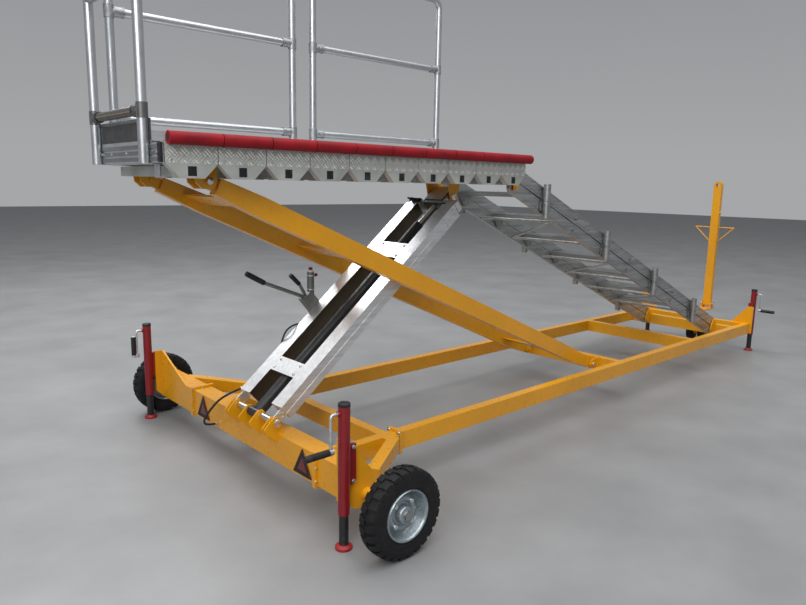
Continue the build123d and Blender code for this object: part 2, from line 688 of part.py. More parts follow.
# Hand pump on the outer face of the far mast profile, with its valve and two levers
PUMP_W = 56
PUMP_Y = MAST_OUT + SLIDE_GAP + PUMP_W / 2
with BuildPart() as hand_pump:
    add(mast_bar(708, 788, PUMP_Y, PUMP_W, 150, 52))
    add(tube((472, PUMP_Y, 950), (472, PUMP_Y, 1085), 22))
    add(tube((448, PUMP_Y, 925), (148, PUMP_Y, 1044), 8))
    add(tube((148, PUMP_Y, 1044), (35, PUMP_Y, 1106), GRIP_R))
    add(tube((430, PUMP_Y, 950), (389, PUMP_Y, 1017), 8))
    add(tube((389, PUMP_Y, 1017), (327, PUMP_Y, 1076), 12))
save(hand_pump.part, "hand_pump")

# Hoses: from the mast to the rear beam, and the loop beside the far mast profile
HOSE_R = 6.5
LOOP_R = 5.5
HOSE_LEAN = 0.81
x, z = along_mast(MAST_START + 21, 24)
FOOT_HOSE = [(x, MAST_OUT + HOSE_LEAN * HOSE_R + SLIDE_GAP, z), (-100, 300, 405), (-165, 365, 300)]
FOOT_HOSE += [(-175, 425, 215), (-115, 458, 180), (-BEAM_W / 2 - SLIDE_GAP, 458, 180)]
LOOP_Y = MAST_OUT + LOOP_R + SLIDE_GAP
MAST_HOSE = []
for s, n in ((612, 18), (560, 66), (475, 68), (412, 18)):
    x, z = along_mast(s, n)
    MAST_HOSE.append((x, LOOP_Y, z))
for name, route, radius in (("foot_hose", FOOT_HOSE, HOSE_R), ("mast_hose", MAST_HOSE, LOOP_R)):
    bends = soft_bends(route)
    print(name, "bend radii", [round(bend) for bend in bends])
    save(pipe(route, bends, radius), name)

# Warning reflectors on the rear face of the rear beam
REFLECTOR_SIDE = 160
REFLECTOR_T = 6
with BuildPart() as reflectors:
    for y in (-455, 642):
        x = -BEAM_W / 2 - SLIDE_GAP - REFLECTOR_T / 2
        half = REFLECTOR_SIDE / 2
        triangle = [(y - half, 165), (y + half, 165), (y, 165 + REFLECTOR_SIDE * cos(radians(30)))]
        add(plate(end_plane(x), triangle, REFLECTOR_T))
save(reflectors.part, "reflectors")

# Platform frame
PLANK_X = [PLATFORM_X0 + (i + 0.5) * PLANK_PITCH for i in range(PLANK_COUNT)]
INNER_BEAM_Y = -185
LUG_TIE_X = MAST_HEAD[0]
with BuildPart() as platform_frame:
    for y in (PLATFORM_NEAR + FRAME_W / 2, INNER_BEAM_Y, -INNER_BEAM_Y):
        add(beam((PLATFORM_X0, y, FRAME_Z), (PLATFORM_X1, y, FRAME_Z), FRAME_W, FRAME_H))
    y = PLATFORM_FAR - FRAME_W / 2
    add(beam((CORNER_X, y, FRAME_Z), (PLATFORM_X1, y, FRAME_Z), FRAME_W, FRAME_H))
    x = PLATFORM_X0 + FRAME_W / 2
    add(beam((x, PLATFORM_NEAR, FRAME_Z), (x, CORNER_Y, FRAME_Z), FRAME_W, FRAME_H, (1, 0, 0)))
    for x in (CORNER_X + FRAME_W / 2, ARM_HEAD[0], 450, LUG_TIE_X, PLATFORM_X1 - FRAME_W / 2):
        add(beam((x, PLATFORM_NEAR, FRAME_Z), (x, PLATFORM_FAR, FRAME_Z), FRAME_W, FRAME_H, (1, 0, 0)))
    for x in PLANK_X:
        for y in (PLATFORM_NEAR - SLEEVE_LENGTH + 20, INNER_BEAM_Y - SLEEVE_LENGTH / 2):
            sleeve = ((x, y, RUNNER_Z), (x, y + SLEEVE_LENGTH, RUNNER_Z))
            add(hollow_beam(*sleeve, SLEEVE_W, SLEEVE_H, SLEEVE_WALL, (1, 0, 0)))
    add(slab((PLATFORM_X1, PLATFORM_X1 + END_T), (-380, 380), (PLANK_SKIRT_Z, DECK_Z)))
    deck = [(PLATFORM_X0, PLATFORM_NEAR), (PLATFORM_X1, PLATFORM_NEAR), (PLATFORM_X1, PLATFORM_FAR)]
    deck += [(CORNER_X, PLATFORM_FAR), (CORNER_X, CORNER_Y), (PLATFORM_X0, CORNER_Y)]
    add(plate(Plane.XY.offset(DECK_Z + DECK_T / 2), deck, DECK_T))
save(platform_frame.part, "platform_frame")

# Lugs on the platform for the lift arms, the mast head and the stair, with their pins
FRAME_BOTTOM = DECK_Z - FRAME_H
with BuildPart() as platform_lugs:
    for side in (-1, 1):
        for y in ARM_LUG_Y:
            x, z = ARM_HEAD
            lug = [(x - 70, FRAME_BOTTOM), (x + 42, FRAME_BOTTOM), (x + 36, z - 15), (x + 20, z - 34)]
            lug += [(x - 30, z - 34), (x - 58, z - 8)]
            add(plate(side_plane(side * y), lug, LUG_T))
        add(cross_pin(*ARM_HEAD, side * (ARM_LUG_Y[0] - 15), side * (ARM_LUG_Y[1] + 15), PIN_R))
        x, z = MAST_HEAD
        lug = [(x - 66, FRAME_BOTTOM), (x + 66, FRAME_BOTTOM), (x + 28, z - 22), (x - 28, z - 22)]
        add(plate(side_plane(side * 100), lug, LUG_T))
        for y in STAIR_LUG_Y:
            add(stair_head_lug(side * y))
        for step in (0, 1):
            x = STAIR_HEAD[0] + step * LINK_OFFSET[0]
            z = STAIR_HEAD[1] + step * LINK_OFFSET[1]
            add(cross_pin(x, z, side * (STAIR_LUG_Y[0] - 10), side * (STAIR_LUG_Y[1] + 10), STAIR_PIN_R))
    # Step over the stair lugs that carries the last guardrail post
    add(slab((PLATFORM_X1 + END_T, 1665), (330, 385), (DECK_Z, DECK_Z + 10)))
save(platform_lugs.part, "platform_lugs")

# Sliding planks: deck, folded front plate and runner; a foam bumper on each
PLANK_HALF = (PLANK_PITCH - PLANK_GAP) / 2
PLANK_Z = DECK_Z + DECK_T + SLIDE_GAP
FRONT_Y = PLANK_FACE_Y - 8


def plank_outline(x, inset):
    """Front plate of a plank, drawn as (x, z), its edges moved in by inset."""
    half, foot = PLANK_HALF - inset, PLANK_FOOT_HALF - 0.41 * inset
    skirt = PLANK_SKIRT_Z + 0.41 * inset
    outline = [(x - half, PLANK_Z), (x - half, skirt), (x - foot, PLANK_FOOT_Z + inset)]
    return outline + [(x + foot, PLANK_FOOT_Z + inset), (x + half, skirt), (x + half, PLANK_Z)]


for i, x in enumerate(PLANK_X, start=1):
    with BuildPart() as plank:
        add(slab((x - PLANK_HALF, x + PLANK_HALF), (FRONT_Y, PLANK_BACK_Y), (PLANK_Z, PLANK_Z + PLANK_T)))
        add(slab((x - PLANK_HALF, x + PLANK_HALF), (FRONT_Y, FRONT_Y + 5), (PLANK_Z, BUMPER_Z + 12)))
        add(plate(side_plane(PLANK_FACE_Y + PLANK_FOLD / 2), plank_outline(x, 0), PLANK_FOLD))
        hollow_y = PLANK_FACE_Y + (PLANK_FOLD + PLANK_T) / 2
        hollow = plate(side_plane(hollow_y), plank_outline(x, PLANK_T), PLANK_FOLD - PLANK_T)
        add(hollow, mode=Mode.SUBTRACT)
        runner = ((x, PLANK_FACE_Y, RUNNER_Z), (x, RUNNER_END_Y, RUNNER_Z))
        add(beam(*runner, RUNNER, RUNNER, (1, 0, 0)))
        add(beam(*runner, RUNNER - 2 * RUNNER_WALL, RUNNER - 2 * RUNNER_WALL, (1, 0, 0)), mode=Mode.SUBTRACT)
    save(plank.part, f"plank_{i:02d}")
    with BuildPart() as bumper:
        y = FRONT_Y - BUMPER_R - SLIDE_GAP
        add(tube((x - PLANK_HALF, y, BUMPER_Z), (x + PLANK_HALF, y, BUMPER_Z), BUMPER_R))
    save(bumper.part, f"bumper_{i:02d}")

# Toe boards: along the far side, and round the rear end past the first plank
with BuildPart() as toe_boards:
    z0 = DECK_Z + DECK_T
    end_x = PLATFORM_X0 - 6
    add(slab((CORNER_X, PLATFORM_X1), (PLATFORM_FAR - 6, PLATFORM_FAR), (z0, z0 + 95)))
    add(slab((end_x, PLATFORM_X0), (PLATFORM_NEAR, CORNER_Y), (PLANK_SKIRT_Z, z0 + 95)))
    add(slab((end_x, PLATFORM_X0 - 3), (PLANK_FACE_Y, PLATFORM_NEAR), (PLANK_SKIRT_Z, DECK_Z)))
save(toe_boards.part, "toe_boards")

# Guardrails: an end rail and two bays along the far side
FOOT_Z = DECK_Z - FRAME_H
BAYS = (
    (-610, 430, FOOT_Z),
    (575, 1635, DECK_Z + 10),
)
with BuildPart() as guardrails:
    y = GUARD_Y
    for x0, x1, foot in BAYS:
        add(pipe(((x0, y, FOOT_Z), (x0, y, GUARD_TOP), (x1, y, GUARD_TOP), (x1, y, foot)), GUARD_BEND, POST_R))
        for z in (GUARD_LOW_Z, GUARD_MID_Z):
            add(tube((x0, y, z), (x1, y, z), RAIL_TUBE_R))
    x = PLATFORM_X0 - 6 - POST_R - SLIDE_GAP
    y0, y1 = END_POST_Y
    add(pipe(((x, y0, FOOT_Z), (x, y0, GUARD_TOP), (x, y1, GUARD_TOP), (x, y1, FOOT_Z)), GUARD_BEND, POST_R))
    for z in (END_LOW_Z, GUARD_MID_Z):
        add(tube((x, y0, z), (x, y1, z), RAIL_TUBE_R))
save(guardrails.part, "guardrails")


def on_link(share, offset=(0, 0)):
    """Place (x, z) on a stair link at a share of its length from the foot pin."""
    x = STAIR_FOOT[0] + offset[0] + share * (STAIR_HEAD[0] - STAIR_FOOT[0])
    return x, STAIR_FOOT[1] + offset[1] + share * (STAIR_HEAD[1] - STAIR_FOOT[1])


# Stair links; tubes and diagonals tie the lower pair
TREAD_SHARES = [FIRST_TREAD + i * TREAD_PITCH for i in range(TREAD_COUNT)]
SLOPE = atan2(STAIR_HEAD[1] - STAIR_FOOT[1], STAIR_HEAD[0] - STAIR_FOOT[0])
for name, offset in (("lower_stringers", (0, 0)), ("upper_stringers", LINK_OFFSET)):
    with BuildPart() as stringers:
        for side in (-1, 1):
            y = side * (STRINGER_OUT - STRINGER_W / 2)
            add(stair_link(on_link(0, offset), on_link(1, offset), y, -side))
            for share in TREAD_SHARES:
                x, z = on_link(share, offset)
                with Locations(Location((x, y, z), (90, 0, 0))):
                    Cylinder(STAIR_PIN_R + RUN_GAP, STRINGER_W + 10, mode=Mode.SUBTRACT)
        if name == "lower_stringers":
            inside = STRINGER_OUT - STRINGER_W + TIE_SINK
            tie_at = []
            for share in TREAD_SHARES[:-1]:
                x, z = on_link(share + TREAD_PITCH / 2)
                tie_at.append((x + TIE_TUBE_N * sin(SLOPE), z - TIE_TUBE_N * cos(SLOPE)))
            for x, z in tie_at:
                add(tube((x, -inside, z), (x, inside, z), TIE_TUBE_R))
            for (x0, z0), (x1, z1) in zip(tie_at[0::2], tie_at[1::2]):
                add(tube((x0, inside, z0), (x1, -inside, z1), TIE_TUBE_R - 1))
    save(stringers.part, name)

# Treads hinged between the links, every second one with handrail sockets
TREAD_IN = STRINGER_OUT - STRINGER_W - SIDE_GAP
for i, share in enumerate(TREAD_SHARES):
    x, z = on_link(share)
    dx, dz = LINK_OFFSET
    with BuildPart() as tread:
        top = (z + 58, z + 58 + TREAD_T)
        add(slab((x - TREAD_BACK, x - TREAD_BACK + TREAD_DEPTH), (-TREAD_IN + 6, TREAD_IN - 6), top))
        for side in (-1, 1):
            cheek = [(x - 20, z - 20), (x + 25, z - 20), (x + dx + 28, z + dz - 6), (x + dx + 22, z + dz + 20)]
            cheek += [(x + dx - 16, z + dz + 20), (x - TREAD_BACK, z + 88), (x - TREAD_BACK, z + 58)]
            add(plate(side_plane(side * (TREAD_IN - 3)), cheek, 6))
            outside = STRINGER_OUT + SIDE_GAP
            for px, pz in ((x, z), (x + dx, z + dz)):
                add(tube((px, side * (TREAD_IN - 3), pz), (px, side * outside, pz), STAIR_PIN_R))
            if i % 2 == 0:
                y = side * (outside + SOCKET_R)
                for px, pz in ((x, z), (x + dx, z + dz)):
                    x_span = (min(px, x + 30) - 12, max(px, x + 30) + 12)
                    add(slab(x_span, (side * outside, side * (outside + 6)), (pz - 30, pz + 30)))
                for low in (SOCKET_LOW, SOCKET_HIGH):
                    socket = ((x + 30, y, z + low), (x + 30, y, z + low + SOCKET_LENGTH))
                    add(tube(*socket, SOCKET_R))
                    add(tube(*socket, SOCKET_BORE), mode=Mode.SUBTRACT)
    save(tread.part, f"tread_{i + 1}")
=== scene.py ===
"""Looks of a towable hydraulic access platform: finishes, fittings, camera and light.

Metres, in the frame of the solids: X forward to the tow bar, Y to the guardrail side, Z up.
"""

from math import atan2, cos, pi, radians, sin

import bmesh
import bpy
from mathutils import Matrix, Vector


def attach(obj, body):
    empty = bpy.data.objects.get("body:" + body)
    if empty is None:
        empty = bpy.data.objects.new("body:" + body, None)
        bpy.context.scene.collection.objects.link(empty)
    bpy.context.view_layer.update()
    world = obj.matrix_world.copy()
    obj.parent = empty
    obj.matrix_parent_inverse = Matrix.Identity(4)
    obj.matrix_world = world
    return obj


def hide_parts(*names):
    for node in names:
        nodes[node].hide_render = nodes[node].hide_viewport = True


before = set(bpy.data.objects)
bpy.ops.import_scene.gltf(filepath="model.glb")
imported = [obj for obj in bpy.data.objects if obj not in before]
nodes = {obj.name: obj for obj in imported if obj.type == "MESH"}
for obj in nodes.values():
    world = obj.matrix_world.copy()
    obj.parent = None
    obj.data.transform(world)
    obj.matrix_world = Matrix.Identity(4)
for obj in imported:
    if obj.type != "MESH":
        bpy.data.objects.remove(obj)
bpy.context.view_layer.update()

# Fittings are placed from the middle of the rear axle line; the machine's middle lies here from it
MIDDLE = (2.426, 0.136, 0.0)

# Camera where the photograph was taken from
CAMERA_AT = (-1.845 - MIDDLE[0], -3.14 - MIDDLE[1], 1.62)
CAMERA_YAW = radians(42.35)
CAMERA_PITCH = radians(9.97)
CAMERA_ROLL = radians(1.07)
CAMERA_LENS = 29.91
SENSOR = 36.0

# Pins of the lift arms and of the mast as (x, z), the slopes between them, and the pins' ends
ARM_FOOT = (2.735, 0.250)
ARM_HEAD = (-0.473, 1.620)
ARM_SLOPE = atan2(ARM_HEAD[1] - ARM_FOOT[1], ARM_FOOT[0] - ARM_HEAD[0])
MAST_FOOT = (-0.065, 0.372)
MAST_HEAD = (1.350, 1.550)
MAST_SLOPE = atan2(MAST_HEAD[1] - MAST_FOOT[1], MAST_HEAD[0] - MAST_FOOT[0])
ARM_PIN_END = 0.370
MAST_PIN_END = 0.105
MAST_INNER_FACE = 0.1184

# Rear wheels, each with its side, place across and way out
WHEEL_D = 0.415
WHEEL_Z = WHEEL_D / 2
RIM_R = 0.1185
RIM_BOLTS = 4
RIM_BOLT_CIRCLE_R = 0.0665
TYRE_LUGS = 26
WHEELS = (("near", -1.128, -1), ("far", 1.400, 1))

# Jacks: x, y, top of tube, way that the crank points, whether its grip is folded up
JACKS = (
    (-0.151, -0.915, 0.680, (-1, 0), False),
    (-0.140, 1.303, 0.660, (-1, 0), True),
    (5.357, -0.558, 0.630, (0, -1), False),
    (5.357, 0.558, 0.630, (0, 1), False),
)
CRANK_BELOW_TOP = 0.040
CRANK_REACH = 0.072
CRANK_DROP = 0.165
GRIP_R = 0.014
GRIP_LENGTH = 0.130
GRIP_RIB_PITCH = 0.0135

# Flange joints of the rails: faces as place along and way out, and the rails' place across
JOINT_FACES = ((0.465, -1), (0.485, 1))
RAIL_Y = 0.550

# Flange joints of the rear beam: place across and way out, and their bolts as (x, z)
BEAM_FLANGES = ((-0.570, -1), (0.790, 1))
BEAM_BOLTS = ((-0.0675, 0.175), (-0.0675, 0.245), (-0.0675, 0.312), (0.0, 0.3175), (0.0675, 0.285))
FLANGE_T = 0.012

# Hand pump: its middle plane, its valve's place along, and the ribs of its grips
PUMP_Y = 0.2463
VALVE_X = 0.472
PUMP_RIB_PITCH = 0.012

# Planks: number, first edge, pitch, half width and front face, the tread pattern's band on that
# face, the open end of the runner and the middle line of the foam bumpers
PLANK_COUNT = 10
PLANK_X0 = -0.720
PLANK_PITCH = 0.232
PLANK_HALF = 0.114
PLANK_FACE_Y = -0.480
CHEQUER_LOW = 1.690
CHEQUER_HIGH = 1.772
RUNNER_Z = 1.659
RUNNER_BORE = 0.0404
BUMPER_Y = -0.5153
BUMPER_Z = 1.788

# Guardrails at the end and beside the deck, their posts with the way that the rails leave them
END_RAIL_X = -0.7473
END_LOW_RAIL_Z = 1.900
END_POSTS = ((-0.340, 1), (0.228, -1))
SIDE_RAIL_Y = 0.3613
SIDE_RAIL_Z = (1.917, 2.420)
SIDE_POSTS = ((-0.610, 1), (0.430, -1), (0.575, 1), (1.635, -1))

# Key clamps: sleeve round a post, socket for a rail, the lip at the socket's end, and how far
# the end rail's clamps stand out from its middle line
SLEEVE_BORE = 0.0212
SLEEVE_R = 0.0245
SLEEVE_LENGTH = 0.062
SOCKET_START = 0.020
SOCKET_BORE = 0.0202
SOCKET_R = 0.0240
SOCKET_LENGTH = 0.052
LIP_R = 0.0258
LIP_WIDTH = 0.008
CLAMP_FRONT = 0.0209

# Rear end board, and the tow bar's plane and hinge
END_BOARD_X = -0.726
TOW_X = 5.580
TOW_Z = 0.385

# Treads: number, the stair's foot as (x, z), the first tread's share of the way up, the step to
# the next one, and the ribs on each
TREAD_COUNT = 7
STAIR_FOOT = (4.850, 0.247)
TREAD_FIRST = 0.161
TREAD_STEP = 0.1247
RIB_COUNT = 12
RIB_PITCH = 0.018
RIB_WIDTH = 0.007

# Hoses: lengths, radii and routes; the mast hose is given along the mast and above its pin line
FOOT_HOSE_LENGTH = 0.489
MAST_HOSE_LENGTH = 0.227
FOOT_HOSE_R = 0.0065
MAST_HOSE_R = 0.0055
FOOT_HOSE_ROUTE = (
    (-0.00735, 0.22357, 0.4512),
    (-0.100, 0.300, 0.405),
    (-0.165, 0.365, 0.300),
    (-0.175, 0.425, 0.215),
    (-0.115, 0.458, 0.180),
    (-0.0603, 0.458, 0.180),
)
MAST_HOSE_Y = 0.2238
MAST_HOSE_ROUTE = ((0.612, 0.018), (0.560, 0.066), (0.475, 0.068), (0.412, 0.018))

# Lights: name, place, point that it faces, size, power; and the strength of the hall's own light
LIGHTS = (
    ("skylight", (-1.9, -1.6, 14.0), (-0.2, 0.1, 0.8), 22.0, 2950),
    ("roof_window", (-1.5, 6.5, 7.0), (-1.7, 0.0, 0.9), 4.0, 310),
    ("window", (-7.4, -4.6, 4.5), (-0.9, -0.1, 1.0), 4.0, 260),
)
HALL_STRENGTH = 0.47

# Tread pattern: its square groups of bars, the bars in them, and one wave at a scale of 1
CHEQUER_CELL = 0.0355
BAR_PITCH = 0.01183
WAVE_REPEAT = 2 * pi / 20


# Node helpers for the finishes
def start_material(name):
    """New material with only a Principled shader; returns it, its tree and the shader."""
    material = bpy.data.materials.new(name)
    material.use_nodes = True
    tree = material.node_tree
    tree.nodes.clear()
    output = tree.nodes.new("ShaderNodeOutputMaterial")
    shader = tree.nodes.new("ShaderNodeBsdfPrincipled")
    tree.links.new(shader.outputs["BSDF"], output.inputs["Surface"])
    return material, tree, shader


def place(tree, scale=(1, 1, 1), turn=(0, 0, 0)):
    """Position on the part, turned and scaled, as a vector output."""
    coords = tree.nodes.new("ShaderNodeTexCoord")
    mapping = tree.nodes.new("ShaderNodeMapping")
    mapping.vector_type = "POINT"
    mapping.inputs["Scale"].default_value = scale
    mapping.inputs["Rotation"].default_value = turn
    tree.links.new(coords.outputs["Object"], mapping.inputs["Vector"])
    return mapping.outputs["Vector"]


def noise(tree, vector, scale, detail=4, rough=0.55):
    """Noise value at a place, from 0 to 1."""
    node = tree.nodes.new("ShaderNodeTexNoise")
    node.inputs["Scale"].default_value = scale
    node.inputs["Detail"].default_value = detail
    node.inputs["Roughness"].default_value = rough
    tree.links.new(vector, node.inputs["Vector"])
    return node.outputs["Fac"]


def spread(tree, value, low, high, to_low, to_high):
    """The value's span from low to high becomes to_low to to_high."""
    node = tree.nodes.new("ShaderNodeMapRange")
    node.inputs["From Min"].default_value = low
    node.inputs["From Max"].default_value = high
    node.inputs["To Min"].default_value = to_low
    node.inputs["To Max"].default_value = to_high
    tree.links.new(value, node.inputs["Value"])
    return node.outputs["Result"]


def blend(tree, factor, first, second):
    """Colour between first and second; each is a colour or another node's output."""
    node = tree.nodes.new("ShaderNodeMix")
    node.data_type = "RGBA"
    tree.links.new(factor, node.inputs["Factor"])
    for value, socket in ((first, node.inputs[6]), (second, node.inputs[7])):
        if isinstance(value, (tuple, list)):
            socket.default_value = (*value, 1.0)
        else:
            tree.links.new(value, socket)
    return node.outputs[2]


def bump(tree, shader, height, strength, distance=0.001):
    """Raises the surface by the height's output."""
    node = tree.nodes.new("ShaderNodeBump")
    node.inputs["Strength"].default_value = strength
    node.inputs["Distance"].default_value = distance
    tree.links.new(height, node.inputs["Height"])
    tree.links.new(node.outputs["Normal"], shader.inputs["Normal"])


def shade(color, factor):
    """Colour made lighter or darker by a factor."""
    return tuple(min(1.0, channel * factor) for channel in color)


def axis_of(tree, vector, axis):
    """One coordinate of a place."""
    node = tree.nodes.new("ShaderNodeSeparateXYZ")
    tree.links.new(vector, node.inputs["Vector"])
    return node.outputs[axis]


def times(tree, first, second):
    """Product of two outputs."""
    node = tree.nodes.new("ShaderNodeMath")
    node.operation = "MULTIPLY"
    tree.links.new(first, node.inputs[0])
    tree.links.new(second, node.inputs[1])
    return node.outputs["Value"]


def far_from_zero(tree, value):
    """Absolute value of an output."""
    node = tree.nodes.new("ShaderNodeMath")
    node.operation = "ABSOLUTE"
    tree.links.new(value, node.inputs[0])
    return node.outputs["Value"]


def paint(name, color, rough=0.3, dirt=(0.20, 0.11, 0.04), dirt_amount=0.06, coat=0.35):
    """Gloss paint with slow changes of tone, thin grime and a light orange peel."""
    material, tree, shader = start_material(name)
    spot = place(tree)
    tone = spread(tree, noise(tree, spot, 2.5), 0.35, 0.65, 0.0, 1.0)
    base = blend(tree, tone, shade(color, 0.93), shade(color, 1.04))
    grime = spread(tree, noise(tree, spot, 3.5, 8, 0.62), 0.50, 0.78, 0.0, dirt_amount)
    tree.links.new(blend(tree, grime, base, dirt), shader.inputs["Base Color"])
    gloss = spread(tree, noise(tree, spot, 30.0, 3), 0.3, 0.7, rough * 0.8, rough * 1.35)
    tree.links.new(gloss, shader.inputs["Roughness"])
    shader.inputs["Coat Weight"].default_value = coat
    shader.inputs["Coat Roughness"].default_value = 0.12
    bump(tree, shader, noise(tree, spot, 260.0, 2), 0.12)
    return material


def outrigger_paint(name, color, metal_from):
    """Gloss paint on the outrigger, bare zinc on its stub axle further out than metal_from."""
    material = paint(name, color, coat=0.2)
    tree = material.node_tree
    shader = next(node for node in tree.nodes if node.type == "BSDF_PRINCIPLED")
    painted = shader.inputs["Base Color"].links[0].from_socket
    reach = far_from_zero(tree, axis_of(tree, place(tree), "Y"))
    bare = spread(tree, reach, metal_from, metal_from + 0.001, 0.0, 1.0)
    tree.links.new(blend(tree, bare, painted, (0.35, 0.36, 0.37)), shader.inputs["Base Color"])
    tree.links.new(bare, shader.inputs["Metallic"])
    return material


def metal(name, color, rough, stretch=(1, 1, 1), turn=(0, 0, 0), contrast=0.12, metallic=1.0):
    """Bare metal with grain along one direction and cloudy changes of gloss."""
    material, tree, shader = start_material(name)
    grain = place(tree, stretch, turn)
    spot = place(tree)
    line = spread(tree, noise(tree, grain, 60.0, 5), 0.3, 0.7, 0.0, 1.0)
    base = blend(tree, line, shade(color, 1 - contrast), shade(color, 1 + contrast))
    stain = spread(tree, noise(tree, spot, 5.0, 7, 0.65), 0.5, 0.8, 0.0, 0.3)
    tree.links.new(blend(tree, stain, base, shade(color, 0.62)), shader.inputs["Base Color"])
    shader.inputs["Metallic"].default_value = metallic
    tree.links.new(
        spread(tree, noise(tree, spot, 14.0, 5), 0.3, 0.7, rough * 0.8, rough * 1.3),
        shader.inputs["Roughness"],
    )
    bump(tree, shader, noise(tree, grain, 120.0, 3), 0.15)
    return material


def mast_metal(name, color, rough, stretch, turn):
    """Bright profiles whose upright inner faces, beside the cylinder, are painted dark brown as shade.
    """
    material = metal(name, color, rough, stretch, turn)
    tree = material.node_tree
    shader = next(node for node in tree.nodes if node.type == "BSDF_PRINCIPLED")
    unshaded_tone = shader.inputs["Base Color"].links[0].from_socket
    side = tree.nodes.new("ShaderNodeMath")
    side.operation = "ADD"
    side.inputs[1].default_value = MIDDLE[1]
    tree.links.new(axis_of(tree, place(tree), "Y"), side.inputs[0])
    reach = far_from_zero(tree, side.outputs["Value"])
    inner = spread(tree, reach, MAST_INNER_FACE, MAST_INNER_FACE + 0.0006, 1.0, 0.0)
    lean = axis_of(tree, tree.nodes.new("ShaderNodeNewGeometry").outputs["Normal"], "Z")
    upright = spread(tree, lean, 0.15, 0.35, 1.0, 0.0)
    # Painted shade: the upright inner faces between the profiles are made dark brown.
    tree.links.new(
        blend(tree, times(tree, inner, upright), unshaded_tone, (0.10, 0.085, 0.06)),
        shader.inputs["Base Color"],
    )
    return material


def galvanised(name, color, rough=0.42, cell=85.0):
    """Zinc coat with its crystal spangle and dull stains."""
    material, tree, shader = start_material(name)
    spot = place(tree)
    cells = tree.nodes.new("ShaderNodeTexVoronoi")
    cells.inputs["Scale"].default_value = cell
    tree.links.new(spot, cells.inputs["Vector"])
    bright = tree.nodes.new("ShaderNodeSeparateColor")
    tree.links.new(cells.outputs["Color"], bright.inputs["Color"])
    base = blend(tree, bright.outputs["Red"], shade(color, 0.84), shade(color, 1.1))
    stain = spread(tree, noise(tree, spot, 7.0, 8, 0.7), 0.48, 0.75, 0.0, 0.45)
    tree.links.new(blend(tree, stain, base, shade(color, 0.6)), shader.inputs["Base Color"])
    shader.inputs["Metallic"].default_value = 0.85
    tree.links.new(
        spread(tree, bright.outputs["Green"], 0.0, 1.0, rough * 0.85, rough * 1.25),
        shader.inputs["Roughness"],
    )
    bump(tree, shader, noise(tree, spot, 160.0, 4), 0.18)
    return material


def rubber(name, color, rough=0.75, scale=240.0, dust=(0.34, 0.32, 0.30), dust_amount=0.35):
    """Rubber or foam with a fine skin and dust."""
    material, tree, shader = start_material(name)
    spot = place(tree)
    tone = noise(tree, spot, 12.0, 6)
    base = blend(tree, spread(tree, tone, 0.35, 0.65, 0.0, 1.0), shade(color, 0.8), shade(color, 1.2))
    dusty = spread(tree, noise(tree, spot, 22.0, 8, 0.7), 0.5, 0.8, 0.0, dust_amount)
    tree.links.new(blend(tree, dusty, base, dust), shader.inputs["Base Color"])
    gloss = spread(tree, tone, 0.3, 0.7, rough * 0.85, min(1.0, rough * 1.15))
    tree.links.new(gloss, shader.inputs["Roughness"])
    shader.inputs["Specular IOR Level"].default_value = 0.3
    bump(tree, shader, noise(tree, spot, scale, 5), 0.35)
    return material


def jack_leg_paint(name, black, red, pad_top):
    """Black leg over a red pad, both worn."""
    material, tree, shader = start_material(name)
    spot = place(tree)
    height = axis_of(tree, spot, "Z")
    leg = spread(tree, height, pad_top - 0.0005, pad_top + 0.0005, 0.0, 1.0)
    wear = spread(tree, noise(tree, spot, 40.0, 8, 0.7), 0.55, 0.75, 0.0, 0.4)
    color = blend(tree, leg, red, black)
    tree.links.new(blend(tree, wear, color, (0.16, 0.14, 0.13)), shader.inputs["Base Color"])
    gloss = spread(tree, noise(tree, spot, 25.0), 0.3, 0.7, 0.28, 0.5)
    tree.links.new(gloss, shader.inputs["Roughness"])
    bump(tree, shader, noise(tree, spot, 220.0, 3), 0.15)
    return material


def wave(tree, turn, axis, pitch, phase=0.0):
    """Waves of that pitch along one axis of a turned place, from 0 to 1 and back."""
    node = tree.nodes.new("ShaderNodeTexWave")
    node.wave_type = "BANDS"
    node.bands_direction = axis
    node.inputs["Scale"].default_value = WAVE_REPEAT / pitch
    node.inputs["Phase Offset"].default_value = phase
    tree.links.new(place(tree, turn=turn), node.inputs["Vector"])
    return node.outputs["Fac"]


def tread_bars(tree, turn, back, across):
    """Square groups of raised bars, crosswise from group to group, in one plane.

    turn and back turn that plane by 45 degrees either way, and across is its second axis. Groups
    of one way stand higher and are painted lighter, a painted highlight of the light that they
    catch, so that the pattern shows from far away.
    """
    squares = tree.nodes.new("ShaderNodeTexChecker")
    squares.inputs["Scale"].default_value = 1 / CHEQUER_CELL
    tree.links.new(place(tree, turn=turn), squares.inputs["Vector"])
    one, other = (
        spread(tree, wave(tree, way, "X", BAR_PITCH), 0.35, 0.62, 0.0, height)
        for way, height in ((turn, 1.0), (back, 0.35))
    )
    # Painted highlight: this mask also lightens the bars' colour, most for the groups of one way.
    raised = blend(tree, squares.outputs["Fac"], one, other)
    edge = times(
        tree,
        wave(tree, turn, "X", CHEQUER_CELL, -pi / 2),
        wave(tree, turn, across, CHEQUER_CELL, -pi / 2),
    )
    return times(tree, raised, spread(tree, edge, 0.0, 0.03, 0.0, 1.0))


